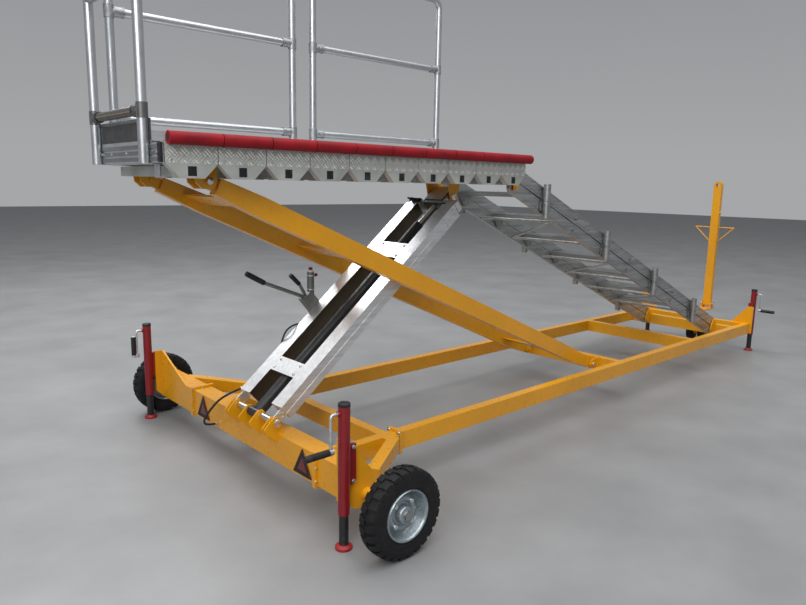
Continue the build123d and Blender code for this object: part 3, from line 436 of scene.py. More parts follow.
def chequer_zinc(name, color):
    """Zinc plank: tread pattern on its deck and on the upper band of its front face."""
    material, tree, shader = start_material(name)
    spot = place(tree)
    height = axis_of(tree, spot, "Z")
    band = times(
        tree,
        spread(tree, height, CHEQUER_LOW, CHEQUER_LOW + 0.001, 0.0, 1.0),
        spread(tree, height, CHEQUER_HIGH - 0.001, CHEQUER_HIGH, 1.0, 0.0),
    )
    face = PLANK_FACE_Y + 0.0005 - MIDDLE[1]
    front = spread(tree, axis_of(tree, spot, "Y"), face, face + 0.0005, 1.0, 0.0)
    face_bars = tread_bars(tree, (0, pi / 4, 0), (0, -pi / 4, 0), "Z")
    deck_bars = tread_bars(tree, (0, 0, pi / 4), (0, 0, -pi / 4), "Y")
    on_face = times(tree, face_bars, times(tree, band, front))
    lean = axis_of(tree, tree.nodes.new("ShaderNodeNewGeometry").outputs["Normal"], "Z")
    top = spread(tree, lean, 0.7, 0.9, 0.0, 1.0)
    raised = blend(tree, top, on_face, deck_bars)
    cloud = spread(tree, noise(tree, spot, 6.0, 7, 0.65), 0.35, 0.7, 0.0, 1.0)
    base = blend(tree, cloud, shade(color, 1.08), shade(color, 0.72))
    # Painted shade: the deck's upward faces get a darker copy of the zinc's tone.
    deck_shade_tone = blend(tree, cloud, shade(color, 0.55), shade(color, 0.36))
    # Painted highlight: the bars are lighter than the plate, twice its colour on the front face.
    bar_highlight_tone = blend(tree, top, shade(color, 2.0), shade(color, 0.85))
    tree.links.new(
        blend(tree, raised, blend(tree, top, base, deck_shade_tone), bar_highlight_tone),
        shader.inputs["Base Color"],
    )
    shader.inputs["Metallic"].default_value = 0.3
    gloss = spread(tree, noise(tree, spot, 18.0, 5), 0.3, 0.7, 0.3, 0.5)
    tree.links.new(gloss, shader.inputs["Roughness"])
    bump(tree, shader, raised, 0.9, 0.0015)
    return material


# Finishes; a grain stretches the noise along X, Y or Z
ALONG_X = (0.06, 1.0, 1.0)
ALONG_Y = (1.0, 0.06, 1.0)
ALONG_Z = (1.0, 1.0, 0.06)
MAST_TURN = (0, MAST_SLOPE, 0)
STAIR_TURN = (0, -ARM_SLOPE, 0)
YELLOW_TONE = (0.72, 0.32, 0.006)
STUB_AXLE_FROM = 1.20
LEG_PAD_TOP = 0.023
YELLOW = paint("yellow_paint", YELLOW_TONE, coat=0.2)
OUTRIGGER = outrigger_paint("outrigger_paint", YELLOW_TONE, STUB_AXLE_FROM)
RED = paint("red_paint", (0.21, 0.003, 0.007), rough=0.4, dirt=(0.06, 0.01, 0.01), coat=0.1)
BLACK = paint("black_satin", (0.018, 0.018, 0.02), rough=0.42, dirt=(0.12, 0.11, 0.10), coat=0.1)
MAST_ALU = mast_metal("mast_aluminium", (0.80, 0.81, 0.82), 0.46, ALONG_X, MAST_TURN)
STAIR_ALU = metal("stair_aluminium", (0.46, 0.47, 0.47), 0.42, ALONG_X, STAIR_TURN, contrast=0.3)
FLAT_ALU = metal("platform_aluminium", (0.66, 0.68, 0.70), 0.36, ALONG_X)
POST_ALU = metal("guardrail_aluminium", (0.58, 0.60, 0.62), 0.40, ALONG_Z, contrast=0.05)
TREAD_ALU = metal("tread_aluminium", (0.36, 0.37, 0.37), 0.45, ALONG_Y, contrast=0.25)
ZINC = galvanised("zinc_coat", (0.62, 0.65, 0.67))
PLANK = chequer_zinc("plank_zinc", (0.46, 0.47, 0.44))
RIM_ZINC = galvanised("rim_zinc", (0.36, 0.41, 0.44), rough=0.36, cell=140.0)
TYRE = rubber("tyre_rubber", (0.007, 0.007, 0.008), 0.65, dust=(0.07, 0.065, 0.06), dust_amount=0.2)
PANEL = paint("dark_panel", (0.045, 0.045, 0.048), rough=0.5, dirt_amount=0.2, coat=0.0)
FOAM = rubber("red_foam", (0.25, 0.004, 0.010), 0.62, 90.0, dust=(0.20, 0.02, 0.03), dust_amount=0.25)
LEG = jack_leg_paint("jack_leg_paint", (0.012, 0.012, 0.014), (0.30, 0.006, 0.009), LEG_PAD_TOP)
GRIP = rubber("grip_rubber", (0.014, 0.014, 0.016), rough=0.5, dust_amount=0.15)
BOLT = metal("zinc_bolts", (0.72, 0.72, 0.70), 0.3, contrast=0.2)
WHITE = paint("pale_plastic", (0.75, 0.75, 0.72), rough=0.4, dirt_amount=0.2, coat=0.0)
DARK_CAST = metal("dark_cast", (0.17, 0.165, 0.16), 0.42, metallic=0.8)
CLAMP_ALU = metal("clamp_aluminium", (0.42, 0.43, 0.44), 0.5, contrast=0.25)
# Painted highlight: brass colour for the yellowish highlight along the end rail.
PAINTED_HIGHLIGHT = metal("painted_highlight", (0.62, 0.42, 0.20), 0.4)
BAND_ALU = metal("band_aluminium", (0.34, 0.35, 0.36), 0.42, ALONG_Y, contrast=0.2)
CAST = metal("grey_cast", (0.22, 0.23, 0.225), 0.5, metallic=0.7)
HOSE = rubber("hose_rubber", (0.018, 0.018, 0.020), rough=0.45, scale=400.0, dust_amount=0.1)
REFLECTOR = paint("reflector_red", (0.13, 0.006, 0.008), rough=0.25, dirt_amount=0.1, coat=0.4)


def dress(name, material):
    """Gives a node its finish."""
    target = nodes[name]
    target.data.materials.clear()
    target.data.materials.append(material)


def soften(target, width=0.0012):
    """Small rounding of a solid's sharp edges, so that they catch the light."""
    edges = target.modifiers.new("edges", "BEVEL")
    edges.width = width
    edges.segments = 1
    edges.limit_method = "ANGLE"
    edges.angle_limit = radians(50)
    edges.harden_normals = True


FINISHES = {
    "rails": YELLOW,
    "cross_members": YELLOW,
    "front_end": YELLOW,
    "rear_beam": YELLOW,
    "near_outrigger": OUTRIGGER,
    "far_outrigger": OUTRIGGER,
    "jack_tubes": RED,
    "jack_cranks": ZINC,
    "near_rim": RIM_ZINC,
    "far_rim": RIM_ZINC,
    "near_tyre": TYRE,
    "far_tyre": TYRE,
    "steering_head": YELLOW,
    "front_wheels": TYRE,
    "tow_bar": YELLOW,
    "lift_arms": YELLOW,
    "mast_outer": MAST_ALU,
    "mast_cylinder": BLACK,
    "mast_inner": MAST_ALU,
    "hand_pump": CAST,
    "foot_hose": HOSE,
    "mast_hose": HOSE,
    "reflectors": REFLECTOR,
    "platform_frame": FLAT_ALU,
    "platform_lugs": YELLOW,
    "toe_boards": FLAT_ALU,
    "guardrails": POST_ALU,
    "lower_stringers": STAIR_ALU,
    "upper_stringers": STAIR_ALU,
}
NOT_SOFTENED = ("bumper", "near_", "far_tyre", "far_rim", "foot_hose", "mast_hose", "jack_leg")
for name in nodes:
    if name.startswith("jack_leg"):
        FINISHES[name] = LEG
    elif name.startswith("plank"):
        FINISHES[name] = PLANK
    elif name.startswith("bumper"):
        FINISHES[name] = FOAM
    elif name.startswith("tread"):
        FINISHES[name] = TREAD_ALU
for name, material in FINISHES.items():
    dress(name, material)
    if not name.startswith(NOT_SOFTENED):
        soften(nodes[name])

# Camera at the place and angle of the photograph
forward = Vector(
    (sin(CAMERA_YAW) * cos(CAMERA_PITCH), cos(CAMERA_YAW) * cos(CAMERA_PITCH), -sin(CAMERA_PITCH))
)
level = Vector((cos(CAMERA_YAW), -sin(CAMERA_YAW), 0))
upright = level.cross(forward)
right = cos(CAMERA_ROLL) * level + sin(CAMERA_ROLL) * upright
up = -sin(CAMERA_ROLL) * level + cos(CAMERA_ROLL) * upright
camera = bpy.data.objects.new("camera", bpy.data.cameras.new("camera"))
camera.data.lens = CAMERA_LENS
camera.data.sensor_width = SENSOR
camera.data.sensor_fit = "HORIZONTAL"
camera.matrix_world = Matrix.Translation(CAMERA_AT) @ Matrix((right, up, -forward)).transposed().to_4x4()
bpy.context.scene.collection.objects.link(camera)
bpy.context.scene.camera = camera


# Helpers for the pieces that the solids do not have
def put(name, data, body, finish, bevel=0.0, sharp=40):
    """Object of the mesh with its finish, riding on the body."""
    data.materials.append(finish)
    data.shade_smooth()
    data.set_sharp_from_angle(angle=radians(sharp))
    piece = bpy.data.objects.new(name, data)
    bpy.context.scene.collection.objects.link(piece)
    if bevel:
        edges = piece.modifiers.new("edges", "BEVEL")
        edges.width = bevel
        edges.segments = 2
        edges.limit_method = "ANGLE"
        edges.angle_limit = radians(sharp)
    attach(piece, body)
    return piece


class Shapes:
    """Solid shapes of one finish that ride on one body; place() makes them one piece."""

    def __init__(self):
        self.mesh = bmesh.new()

    def prism(self, outline, depth):
        """Solid between an outline of corners and the same outline moved by depth."""
        near = [self.mesh.verts.new(corner) for corner in outline]
        far = [self.mesh.verts.new(Vector(corner) + Vector(depth)) for corner in outline]
        self.mesh.faces.new(near)
        self.mesh.faces.new(reversed(far))
        for i in range(len(near)):
            j = (i + 1) % len(near)
            self.mesh.faces.new((near[i], near[j], far[j], far[i]))

    def block(self, low, high):
        """Box between two opposite corners."""
        (x0, y0, z0), (x1, y1, z1) = low, high
        self.prism([(x0, y0, z0), (x1, y0, z0), (x1, y1, z0), (x0, y1, z0)], (0, 0, z1 - z0))

    def turned(self, start, axis, profile, sides=20, closed=False):
        """Solid of revolution; the profile lists distances along the axis and radii."""
        along = Vector(axis).normalized()
        across = along.orthogonal().normalized()
        other = along.cross(across)
        rings = []
        for distance, radius in profile:
            center = Vector(start) + distance * along
            ring = []
            for k in range(sides):
                angle = 2 * pi * k / sides
                out = cos(angle) * across + sin(angle) * other
                ring.append(self.mesh.verts.new(center + radius * out))
            rings.append(ring)
        pairs = list(zip(rings, rings[1:]))
        if closed:
            pairs.append((rings[-1], rings[0]))
        else:
            self.mesh.faces.new(reversed(rings[0]))
            self.mesh.faces.new(rings[-1])
        for first, second in pairs:
            for k in range(sides):
                n = (k + 1) % sides
                self.mesh.faces.new((first[k], first[n], second[n], second[k]))

    def rod(self, start, end, radius, sides=16):
        """Round bar between two points."""
        run = Vector(end) - Vector(start)
        self.turned(start, run, [(0, radius), (run.length, radius)], sides)

    def ring(self, start, axis, inner, outer, width, sides=20):
        """Open ring of that width along the axis from its start."""
        profile = [(0, inner), (0, outer), (width, outer), (width, inner)]
        self.turned(start, axis, profile, sides, True)

    def bolt(self, at, axis, size=0.010):
        """Washer and hexagon head of a bolt of that thread size, standing on a face."""
        along = Vector(axis).normalized()
        self.turned(at, along, [(0, size * 1.05), (0.16 * size, size * 1.05)], 16)
        head = Vector(at) + 0.16 * size * along
        profile = [(0, 0.92 * size), (0.5 * size, 0.92 * size), (0.62 * size, 0.75 * size)]
        self.turned(head, along, profile, 6)

    def place(self, name, body, finish, bevel=0.0, sharp=40):
        """Makes the shapes one piece with that finish on that body."""
        bmesh.ops.recalc_face_normals(self.mesh, faces=self.mesh.faces)
        bmesh.ops.translate(self.mesh, verts=self.mesh.verts, vec=-Vector(MIDDLE))
        data = bpy.data.meshes.new(name)
        self.mesh.to_mesh(data)
        self.mesh.free()
        return put(name, data, body, finish, bevel, sharp)


def hose(name, route, radius, body, finish):
    """Smooth tube whose route's points are the control points of one spline."""
    data = bpy.data.curves.new(name, "CURVE")
    data.dimensions = "3D"
    data.bevel_depth = radius
    data.bevel_resolution = 4
    data.resolution_u = 16
    data.use_fill_caps = True
    spline = data.splines.new("NURBS")
    spline.points.add(len(route) - 1)
    for point, (x, y, z) in zip(spline.points, route):
        point.co = (x - MIDDLE[0], y - MIDDLE[1], z - MIDDLE[2], 1)
    spline.order_u = 3
    spline.use_endpoint_u = True
    data.materials.append(finish)
    piece = bpy.data.objects.new(name, data)
    bpy.context.scene.collection.objects.link(piece)
    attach(piece, body)
    return piece


def along_mast(s, n=0.0):
    """Point (x, z) at s along the mast from its foot pin and n above its pin line."""
    x = MAST_FOOT[0] + s * cos(MAST_SLOPE) - n * sin(MAST_SLOPE)
    return x, MAST_FOOT[1] + s * sin(MAST_SLOPE) + n * cos(MAST_SLOPE)


def floor():
    """Plain pale floor."""
    reach = 40.0
    mesh = bpy.data.meshes.new("floor")
    corners = [(-reach, -reach, 0), (reach, -reach, 0), (reach, reach, 0), (-reach, reach, 0)]
    mesh.from_pydata(corners, [], [(0, 1, 2, 3)])
    ground = bpy.data.objects.new("floor", mesh)
    bpy.context.scene.collection.objects.link(ground)
    material, tree, shader = start_material("pale_floor")
    spot = place(tree)
    tone = spread(tree, noise(tree, spot, 1.5, 6), 0.3, 0.7, 0.0, 1.0)
    color = blend(tree, tone, (0.21, 0.213, 0.217), (0.275, 0.278, 0.282))
    tree.links.new(color, shader.inputs["Base Color"])
    shader.inputs["Roughness"].default_value = 0.45
    mesh.materials.append(material)


def wheel_rims():
    """Pressed rims, open on both sides of their dish, with bolts, hub caps and tyre valves."""
    outer_lip = [(0.0500, RIM_R), (0.0522, 0.1160), (0.0510, 0.1125), (0.0390, 0.1065)]
    dish = [(0.0120, 0.1010), (0.0020, 0.0930), (0.0090, 0.0810), (0.0185, 0.0715), (0.0175, 0.0610)]
    hub = [(0.0060, 0.0510), (0.0080, 0.0430), (0.0330, 0.0400), (0.0400, 0.0340), (0.0400, 0.0)]
    hub_back = [(-0.0450, 0.0), (-0.0450, 0.0400), (-0.0060, 0.0430), (0.0010, 0.0520)]
    dish_back = [(0.0120, 0.0620), (0.0130, 0.0705), (0.0030, 0.0800), (-0.0045, 0.0930)]
    inner_lip = [(-0.0100, 0.1005), (-0.0390, 0.1065), (-0.0510, 0.1125), (-0.0522, 0.1160)]
    inner_lip.append((-0.0500, RIM_R))
    profile = outer_lip + dish + hub + hub_back + dish_back + inner_lip
    cap = [(0, 0.021), (0.009, 0.020), (0.0125, 0.015)]
    for name, y, out in WHEELS:
        rim = Shapes()
        rim.turned((0, y, WHEEL_Z), (0, out, 0), [(t, max(r, 0.0005)) for t, r in profile], 64, True)
        piece = rim.place(f"{name}_pressed_rim", f"{name}_wheel", RIM_ZINC, sharp=60)
        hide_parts(f"{name}_rim")
        bolts = Shapes()
        for k in range(RIM_BOLTS):
            angle = pi / 4 + k * 2 * pi / RIM_BOLTS
            x, z = RIM_BOLT_CIRCLE_R * cos(angle), WHEEL_Z + RIM_BOLT_CIRCLE_R * sin(angle)
            bolts.bolt((x, y + out * 0.0180, z), (0, out, 0), 0.011)
        bolts.turned((0, y + out * 0.040, WHEEL_Z), (0, out, 0), cap, 24)
        valve = Vector((0.084, y + out * 0.004, WHEEL_Z))
        bolts.rod(valve, valve + Vector((0, out * 0.026, 0)), 0.0035, 10)
        bolts.place(f"{name}_wheel_bolts", f"{name}_wheel", BOLT)


def wheel_tyres():
    """Tyres with two rows of slanted shoulder lugs and a ribbed side wall."""
    tread_r, lug_top = 0.1995, 0.2072
    side = [(0.0380, RIM_R), (0.0450, 0.1215), (0.0500, 0.1330), (0.0515, 0.1500), (0.0505, 0.1530)]
    side += [(0.0520, 0.1560), (0.0520, 0.1640), (0.0490, 0.1830), (0.0400, 0.1945), (0.0150, tread_r)]
    profile = side + [(-t, r) for t, r in reversed(side)]
    for name, y, out in WHEELS:
        tyre = Shapes()
        tyre.turned((0, y, WHEEL_Z), (0, out, 0), profile, 96, True)
        for row in (-1, 1):
            for k in range(TYRE_LUGS):
                middle = 2 * pi * (k + (row + 1) / 4) / TYRE_LUGS
                add_lug(tyre, y, row, middle, tread_r, lug_top)
        piece = tyre.place(f"{name}_lug_tyre", f"{name}_wheel", TYRE, 0.0012, 35)
        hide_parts(f"{name}_tyre")


def add_lug(tyre, y, row, middle, tread_r, lug_top):
    """One lug from the middle of the tread round the shoulder.

    Its sections list the place across, half angle, slant, and radii of foot and top.
    """
    sections = (
        (0.003, 0.066, 0.035, tread_r - 0.006, lug_top),
        (0.026, 0.080, 0.000, tread_r - 0.008, lug_top - 0.0006),
        (0.0420, 0.084, -0.010, 0.1870, 0.2020),
        (0.0505, 0.080, -0.014, 0.1780, 0.1870),
    )
    rows = []
    for across, half, slant, low, high in sections:
        corners = []
        for angle, radius in ((-half, low), (half, low), (half, high), (-half, high)):
            turn = middle + slant + angle
            place_at = (radius * cos(turn), y + row * across, WHEEL_Z + radius * sin(turn))
            corners.append(tyre.mesh.verts.new(place_at))
        rows.append(corners)
    tyre.mesh.faces.new(rows[0])
    tyre.mesh.faces.new(reversed(rows[-1]))
    for first, second in zip(rows, rows[1:]):
        for i in range(4):
            j = (i + 1) % 4
            tyre.mesh.faces.new((first[i], second[i], second[j], first[j]))


def jack_fittings():
    """Caps, crank bosses, ribbed grips and bracket bolts of the four jacks."""
    caps, bosses, grips, bolts = Shapes(), Shapes(), Shapes(), Shapes()
    for x, y, top, (out_x, out_y), folded in JACKS:
        caps.turned((x, y, top), (0, 0, 1), [(-0.012, 0.0280), (0.002, 0.0280), (0.005, 0.0240)], 28)
        crank_z = top - CRANK_BELOW_TOP
        boss = (x + out_x * 0.024, y + out_y * 0.024, crank_z)
        bosses.turned(boss, (out_x, out_y, 0), [(0, 0.0130), (0.010, 0.0130), (0.012, 0.0110)], 20)
        low = Vector((x + out_x * CRANK_REACH, y + out_y * CRANK_REACH, crank_z - CRANK_DROP))
        if folded:
            start = low + Vector((out_x * (0.007 + GRIP_R), out_y * (0.007 + GRIP_R), 0.004))
            axis = Vector((0, 0, 1))
        else:
            axis = Vector((out_x, out_y, 0))
            start = low + 0.010 * axis
        ribs = [(-0.0005, 0.0148)]
        for i in range(9):
            along = i * GRIP_RIB_PITCH
            ribs += [(0.004 + along, 0.0160), (0.011 + along, 0.0152)]
        grips.turned(start, axis, ribs + [(GRIP_LENGTH - 0.006, 0.0148)], 20)
        bolts.turned(low - Vector((0, 0, GRIP_R + 0.002)), (0, 0, 1), [(0, 0.008), (0.003, 0.009)], 6)
    for x, z in ((-0.094, 0.466), (-0.094, 0.304)):
        bolts.bolt((x, -0.912, z), (0, -1, 0))
    for z in (0.304, 0.446):
        bolts.bolt((-0.093, 1.310, z), (0, 1, 0))
    for side in (-1, 1):
        for z in (0.320, 0.440):
            bolts.bolt((5.322, side * 0.573, z), (0, side, 0), 0.008)
    caps.place("jack_caps", "chassis", GRIP, 0.001)
    bosses.place("jack_bosses", "chassis", RED, 0.0008)
    grips.place("crank_grips", "chassis", GRIP, sharp=70)
    bolts.place("jack_bolts", "chassis", BOLT)


def frame_bolts():
    """Bolts of the rails' flange joints and of the rear beam's joints."""
    bolts = Shapes()
    for side in (-1, 1):
        for across in (-0.040, 0.040):
            for z in (0.191, 0.299):
                for x, out in JOINT_FACES:
                    bolts.bolt((x, side * RAIL_Y + across, z), (out, 0, 0))
    for y, out in BEAM_FLANGES:
        for x, z in BEAM_BOLTS:
            bolts.bolt((x, y + out * FLANGE_T, z), (0, out, 0), 0.007)
            bolts.bolt((x, y - out * FLANGE_T, z), (0, -out, 0), 0.007)
    bolts.place("frame_bolts", "chassis", BOLT)


def reflector_borders():
    """Black rims round the red triangles on the rear beam."""
    rims = Shapes()
    face_x, base, side, height, band = -0.0672, 0.165, 0.160, 0.1386, 0.020
    for y in (-0.455, 0.642):
        corners = [Vector((face_x, y - side / 2, base)), Vector((face_x, y + side / 2, base))]
        corners.append(Vector((face_x, y, base + height)))
        middle = sum(corners, Vector()) / 3
        inner = [middle + (corner - middle) * (1 - 3 * band / height) for corner in corners]
        for i in range(3):
            j = (i + 1) % 3
            rims.prism([corners[i], corners[j], inner[j], inner[i]], (0.0012, 0, 0))
    rims.place("reflector_rims", "chassis", GRIP)


def mast_foot():
    """Sleeves, washers and heads on the mast's foot pin, and the bolts of the mast's eye plates."""
    x, z = MAST_FOOT
    sleeves = Shapes()
    spans = ((0.063, 0.182), (0.2055, 0.208), (0.1922, 0.1948), (0.218, 0.223))
    for start, end in spans:
        for side in (-1, 1):
            sleeves.ring((x, side * start, z), (0, side, 0), 0.0151, 0.0178, end - start)
    sleeves.turned((x, -0.228, z), (0, -1, 0), [(0, 0.0235), (0.006, 0.0235), (0.008, 0.021)], 24)
    sleeves.turned((x, 0.2230, z), (0, 1, 0), [(0, 0.0235), (0.004, 0.0235)], 24)
    sleeves.place("mast_pin_sleeves", "chassis", BOLT, 0.0006)
    eyes = Shapes()
    for side in (-1, 1):
        for s, n in ((0.050, 0.014), (0.050, -0.016), (0.064, 0.0)):
            px, pz = along_mast(s, n)
            eyes.bolt((px, side * 0.205, pz), (0, side, 0), 0.006)
    eyes.place("mast_eye_bolts", "mast", BOLT)


def hoses():
    """The two hoses as bent tubes in place of the solids' own, with their ferrules."""
    mast_loop = [along_mast(s, n) for s, n in MAST_HOSE_ROUTE]
    mast_loop = [(x, MAST_HOSE_Y, z) for x, z in mast_loop]
    for name, points, radius, body, length, lay in (
        ("foot_hose_tube", FOOT_HOSE_ROUTE, FOOT_HOSE_R, "chassis", FOOT_HOSE_LENGTH, "hanging"),
        ("mast_hose_tube", mast_loop, MAST_HOSE_R, "mast", MAST_HOSE_LENGTH, "loose"),
    ):
        piece = hose(name, points, radius, body, HOSE)
        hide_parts(name.replace("_tube", ""))
        ends = Shapes()
        for here, there in ((points[0], points[1]), (points[-1], points[-2])):
            run = (Vector(there) - Vector(here)).normalized()
            ends.ring(Vector(here) + 0.001 * run, run, radius * 1.02, radius * 1.35, 0.018, 18)
        ends.place(name.replace("_tube", "_ferrules"), body, BOLT, 0.0006)


def pump_fittings():
    """Lever tubes, grips, valve knobs and bolts of the hand pump."""
    y = PUMP_Y
    grips, red, white, bolts = Shapes(), Shapes(), Shapes(), Shapes()
    for start, end, radius in (
        ((0.148, y, 1.044), (0.035, y, 1.106), 0.0148),
        ((0.389, y, 1.017), (0.327, y, 1.076), 0.0128),
    ):
        run = Vector(end) - Vector(start)
        ribs = [(0, radius)]
        for i in range(int(run.length / PUMP_RIB_PITCH)):
            along = i * PUMP_RIB_PITCH
            ribs += [(0.003 + along, radius + 0.0014), (0.009 + along, radius + 0.0008)]
        grips.turned(start, run, ribs + [(run.length + 0.001, radius)], 18)
    white.turned((VALVE_X, y, 1.085), (0, 0, 1), [(0, 0.017), (0.010, 0.017), (0.013, 0.014)], 20)
    red.turned((VALVE_X, y, 1.098), (0, 0, 1), [(0, 0.012), (0.010, 0.013), (0.016, 0.009)], 18)
    side_knob = [(-0.006, 0.006), (0.010, 0.006), (0.011, 0.010), (0.022, 0.009)]
    red.turned((VALVE_X + 0.025, y, 1.060), (1, 0, 0.3), side_knob, 14)
    for s in (0.724, 0.772):
        for n in (-0.008, 0.112):
            px, pz = along_mast(s, n)
            bolts.bolt((px, y + 0.028, pz), (0, 1, 0), 0.008)
    for z in (0.975, 1.060):
        bolts.ring((VALVE_X, y, z), (0, 0, 1), 0.0215, 0.0235, 0.008)
    levers = Shapes()
    levers.rod((0.428, y, 0.9329), (0.152, y, 1.0424), 0.0112, 18)
    levers.rod((0.424, y, 0.9598), (0.391, y, 1.0138), 0.0100, 18)
    levers.place("pump_lever_tubes", "mast", CAST, sharp=60)
    grips.place("pump_grips", "mast", GRIP, sharp=70)
    red.place("pump_red_knobs", "mast", RED)
    white.place("pump_white_collar", "mast", WHITE)
    bolts.place("pump_bolts", "mast", BOLT)


def mast_plates():
    """Bolts of the mast's tie plates, caps on its sides, and plastic strips at its open end."""
    bolts, guides = Shapes(), Shapes()
    lean = (-sin(MAST_SLOPE), 0, cos(MAST_SLOPE))
    tie_plates = ((0.255, 0.353), (1.220, 1.345))
    for start, end in tie_plates:
        for s in (start + 0.020, end - 0.020):
            for side in (-1, 1):
                x, z = along_mast(s, 0.040)
                bolts.bolt((x, side * 0.098, z), lean, 0.008)
    for side in (-1, 1):
        for s in (1.600, 1.690):
            for n in (-0.030, 0.020):
                x, z = along_mast(s, n)
                bolts.turned((x, side * 0.218, z), (0, side, 0), [(0, 0.0075), (0.003, 0.0065)], 14)
        corners = []
        for s, n in ((1.7240, -0.046), (1.7300, -0.046), (1.7300, 0.036), (1.7240, 0.036)):
            x, z = along_mast(s, n)
            corners.append((x, side * 0.122, z))
        guides.prism(corners, (0, side * 0.0065, 0))
        corners = [(x, side * 0.2075, z) for x, _, z in corners]
        guides.prism(corners, (0, side * 0.0065, 0))
    bolts.place("mast_bolts", "mast", BOLT)
    guides.place("mast_guides", "mast", GRIP)


def plank_screws():
    """Screws on the face of each plank, and a dark plate as painted shade in the open end of its runner.

    Dark discs, painted shade in the bores at the ends of the foam row, ride on the first and the last
    plank.
    """
    screw = [(0, 0.0065), (0.0025, 0.0055), (0.0035, 0.003)]
    half = RUNNER_BORE / 2
    for i in range(PLANK_COUNT):
        number = f"{i + 1:02d}"
        x = PLANK_X0 + (i + 0.5) * PLANK_PITCH
        screws = Shapes()
        for dx in (-0.088, 0.088):
            for z in (1.703, 1.757):
                screws.turned((x + dx, PLANK_FACE_Y, z), (0, -1, 0), screw, 14)
        screws.place(f"plank_screws_{number}", f"plank_{number}", BOLT)
        plug = Shapes()
        # Painted shade: a dark plate stands in the runner's open end.
        plug.block((x - half, -0.4765, RUNNER_Z - half), (x + half, -0.4700, RUNNER_Z + half))
        way = {0: -1, PLANK_COUNT - 1: 1}.get(i)
        if way:
            bore = (x + way * PLANK_HALF, BUMPER_Y, BUMPER_Z)
            # Painted shade: a dark disc stands in the foam row's bore.
            plug.turned(bore, (way, 0, 0), [(-0.0015, 0.0135), (0.0006, 0.0135)], 24)
        plug.place(f"plank_bore_shade_{number}", f"plank_{number}", GRIP)


def key_clamp(clamps, at, rail):
    """Tee fitting: sleeve round the post at a height, and a lipped socket along the rail from it."""
    at, rail = Vector(at), Vector(rail)
    foot = at - Vector((0, 0, SLEEVE_LENGTH / 2))
    clamps.ring(foot, (0, 0, 1), SLEEVE_BORE, SLEEVE_R, SLEEVE_LENGTH)
    clamps.ring(at + SOCKET_START * rail, rail, SOCKET_BORE, SOCKET_R, SOCKET_LENGTH)
    lip = at + (SOCKET_START + SOCKET_LENGTH - LIP_WIDTH) * rail
    clamps.ring(lip, rail, SOCKET_BORE, LIP_R, LIP_WIDTH)


def guardrail_clamps():
    """Key clamps and set screws on the low and middle rails; painted highlight on the dark end rail."""
    end_clamps, side_clamps, screws = Shapes(), Shapes(), Shapes()
    spots = [((END_RAIL_X, y, END_LOW_RAIL_Z), (0, way, 0)) for y, way in END_POSTS]
    for x, way in SIDE_POSTS:
        spots += [((x, SIDE_RAIL_Y, z), (way, 0, 0)) for z in SIDE_RAIL_Z]
    for at, rail in spots:
        key_clamp(side_clamps if rail[0] else end_clamps, at, rail)
        out = Vector((0, -1, 0)) if rail[0] else Vector((0, 0, 1))
        screw = Vector(at) + 0.046 * Vector(rail) + 0.0235 * out
        screws.turned(screw, out, [(0, 0.0055), (0.004, 0.0050)], 6)
    start, end = (END_RAIL_X, -0.320, END_LOW_RAIL_Z), (END_RAIL_X, 0.205, END_LOW_RAIL_Z)
    end_clamps.rod(start, end, 0.0207, 20)
    front = END_RAIL_X - CLAMP_FRONT
    for vertex in end_clamps.mesh.verts:
        vertex.co.x = max(vertex.co.x, front)
    end_clamps.place("key_clamps", "platform", DARK_CAST, 0.001)
    side_clamps.place("side_key_clamps", "platform", CLAMP_ALU, 0.001)
    # Painted highlight: a thin brass-coloured strip along the front of the dark end rail.
    stripe = Shapes()
    stripe.block((front, -0.290, 1.8945), (END_RAIL_X - 0.0195, 0.180, 1.8985))
    stripe.place("end_rail_stripe", "platform", PAINTED_HIGHLIGHT)
    screws.place("key_clamp_screws", "platform", BOLT)


def end_panel():
    """Rear end between the posts: dark panel with a pale edge, grooved band and corner block."""
    dark, band, block = Shapes(), Shapes(), Shapes()
    x = END_BOARD_X
    dark.block((x - 0.0025, -0.300, 1.781), (x, 0.196, 1.858))
    dark.block((x - 0.0030, -0.359, 1.781), (x, -0.372, 1.868))
    block.block((-0.738, -0.4795, 1.692), (-0.7262, -0.452, 1.770))
    band.block((x - 0.006, -0.300, 1.860), (x, 0.225, 1.871))
    for z in (1.697, 1.722, 1.747):
        band.block((x - 0.004, -0.4500, z), (x, 0.2280, z + 0.018))
    bolts = Shapes()
    for y in (-0.430, -0.290, -0.100, 0.080, 0.200):
        bolts.bolt((x - 0.004, y, 1.731), (-1, 0, 0), 0.006)
    dark.place("end_dark_panel", "platform", PANEL)
    block.place("end_corner_block", "platform", GRIP, 0.002)
    band.place("end_band", "platform", BAND_ALU, 0.001)
    bolts.place("end_band_bolts", "platform", BOLT)


def tow_bar_fittings():
    """Round-bar handle across the tow bar, bolts at its top, and washers of its hinge pin."""
    bolts, washers = Shapes(), Shapes()
    y0, low, high, reach = 0.041, 1.075, 1.228, 0.205
    corners = [(TOW_X, y0, low), (TOW_X, reach, high), (TOW_X, -reach, high), (TOW_X, -y0, low)]
    handle = Shapes()
    for start, end in zip(corners, corners[1:]):
        handle.rod(start, end, 0.006, 12)
    handle.place("tow_handle", "tow_bar", YELLOW)
    for side in (-1, 1):
        bolts.bolt((TOW_X, side * 0.040, 1.383), (0, side, 0), 0.012)
        washer = [(0, 0.022), (0.004, 0.022)]
        washers.turned((TOW_X, side * 0.060, TOW_Z), (0, side, 0), washer, 20)
    bolts.place("tow_bar_bolts", "tow_bar", BOLT)
    washers.place("tow_pin_washers", "steering", BOLT)


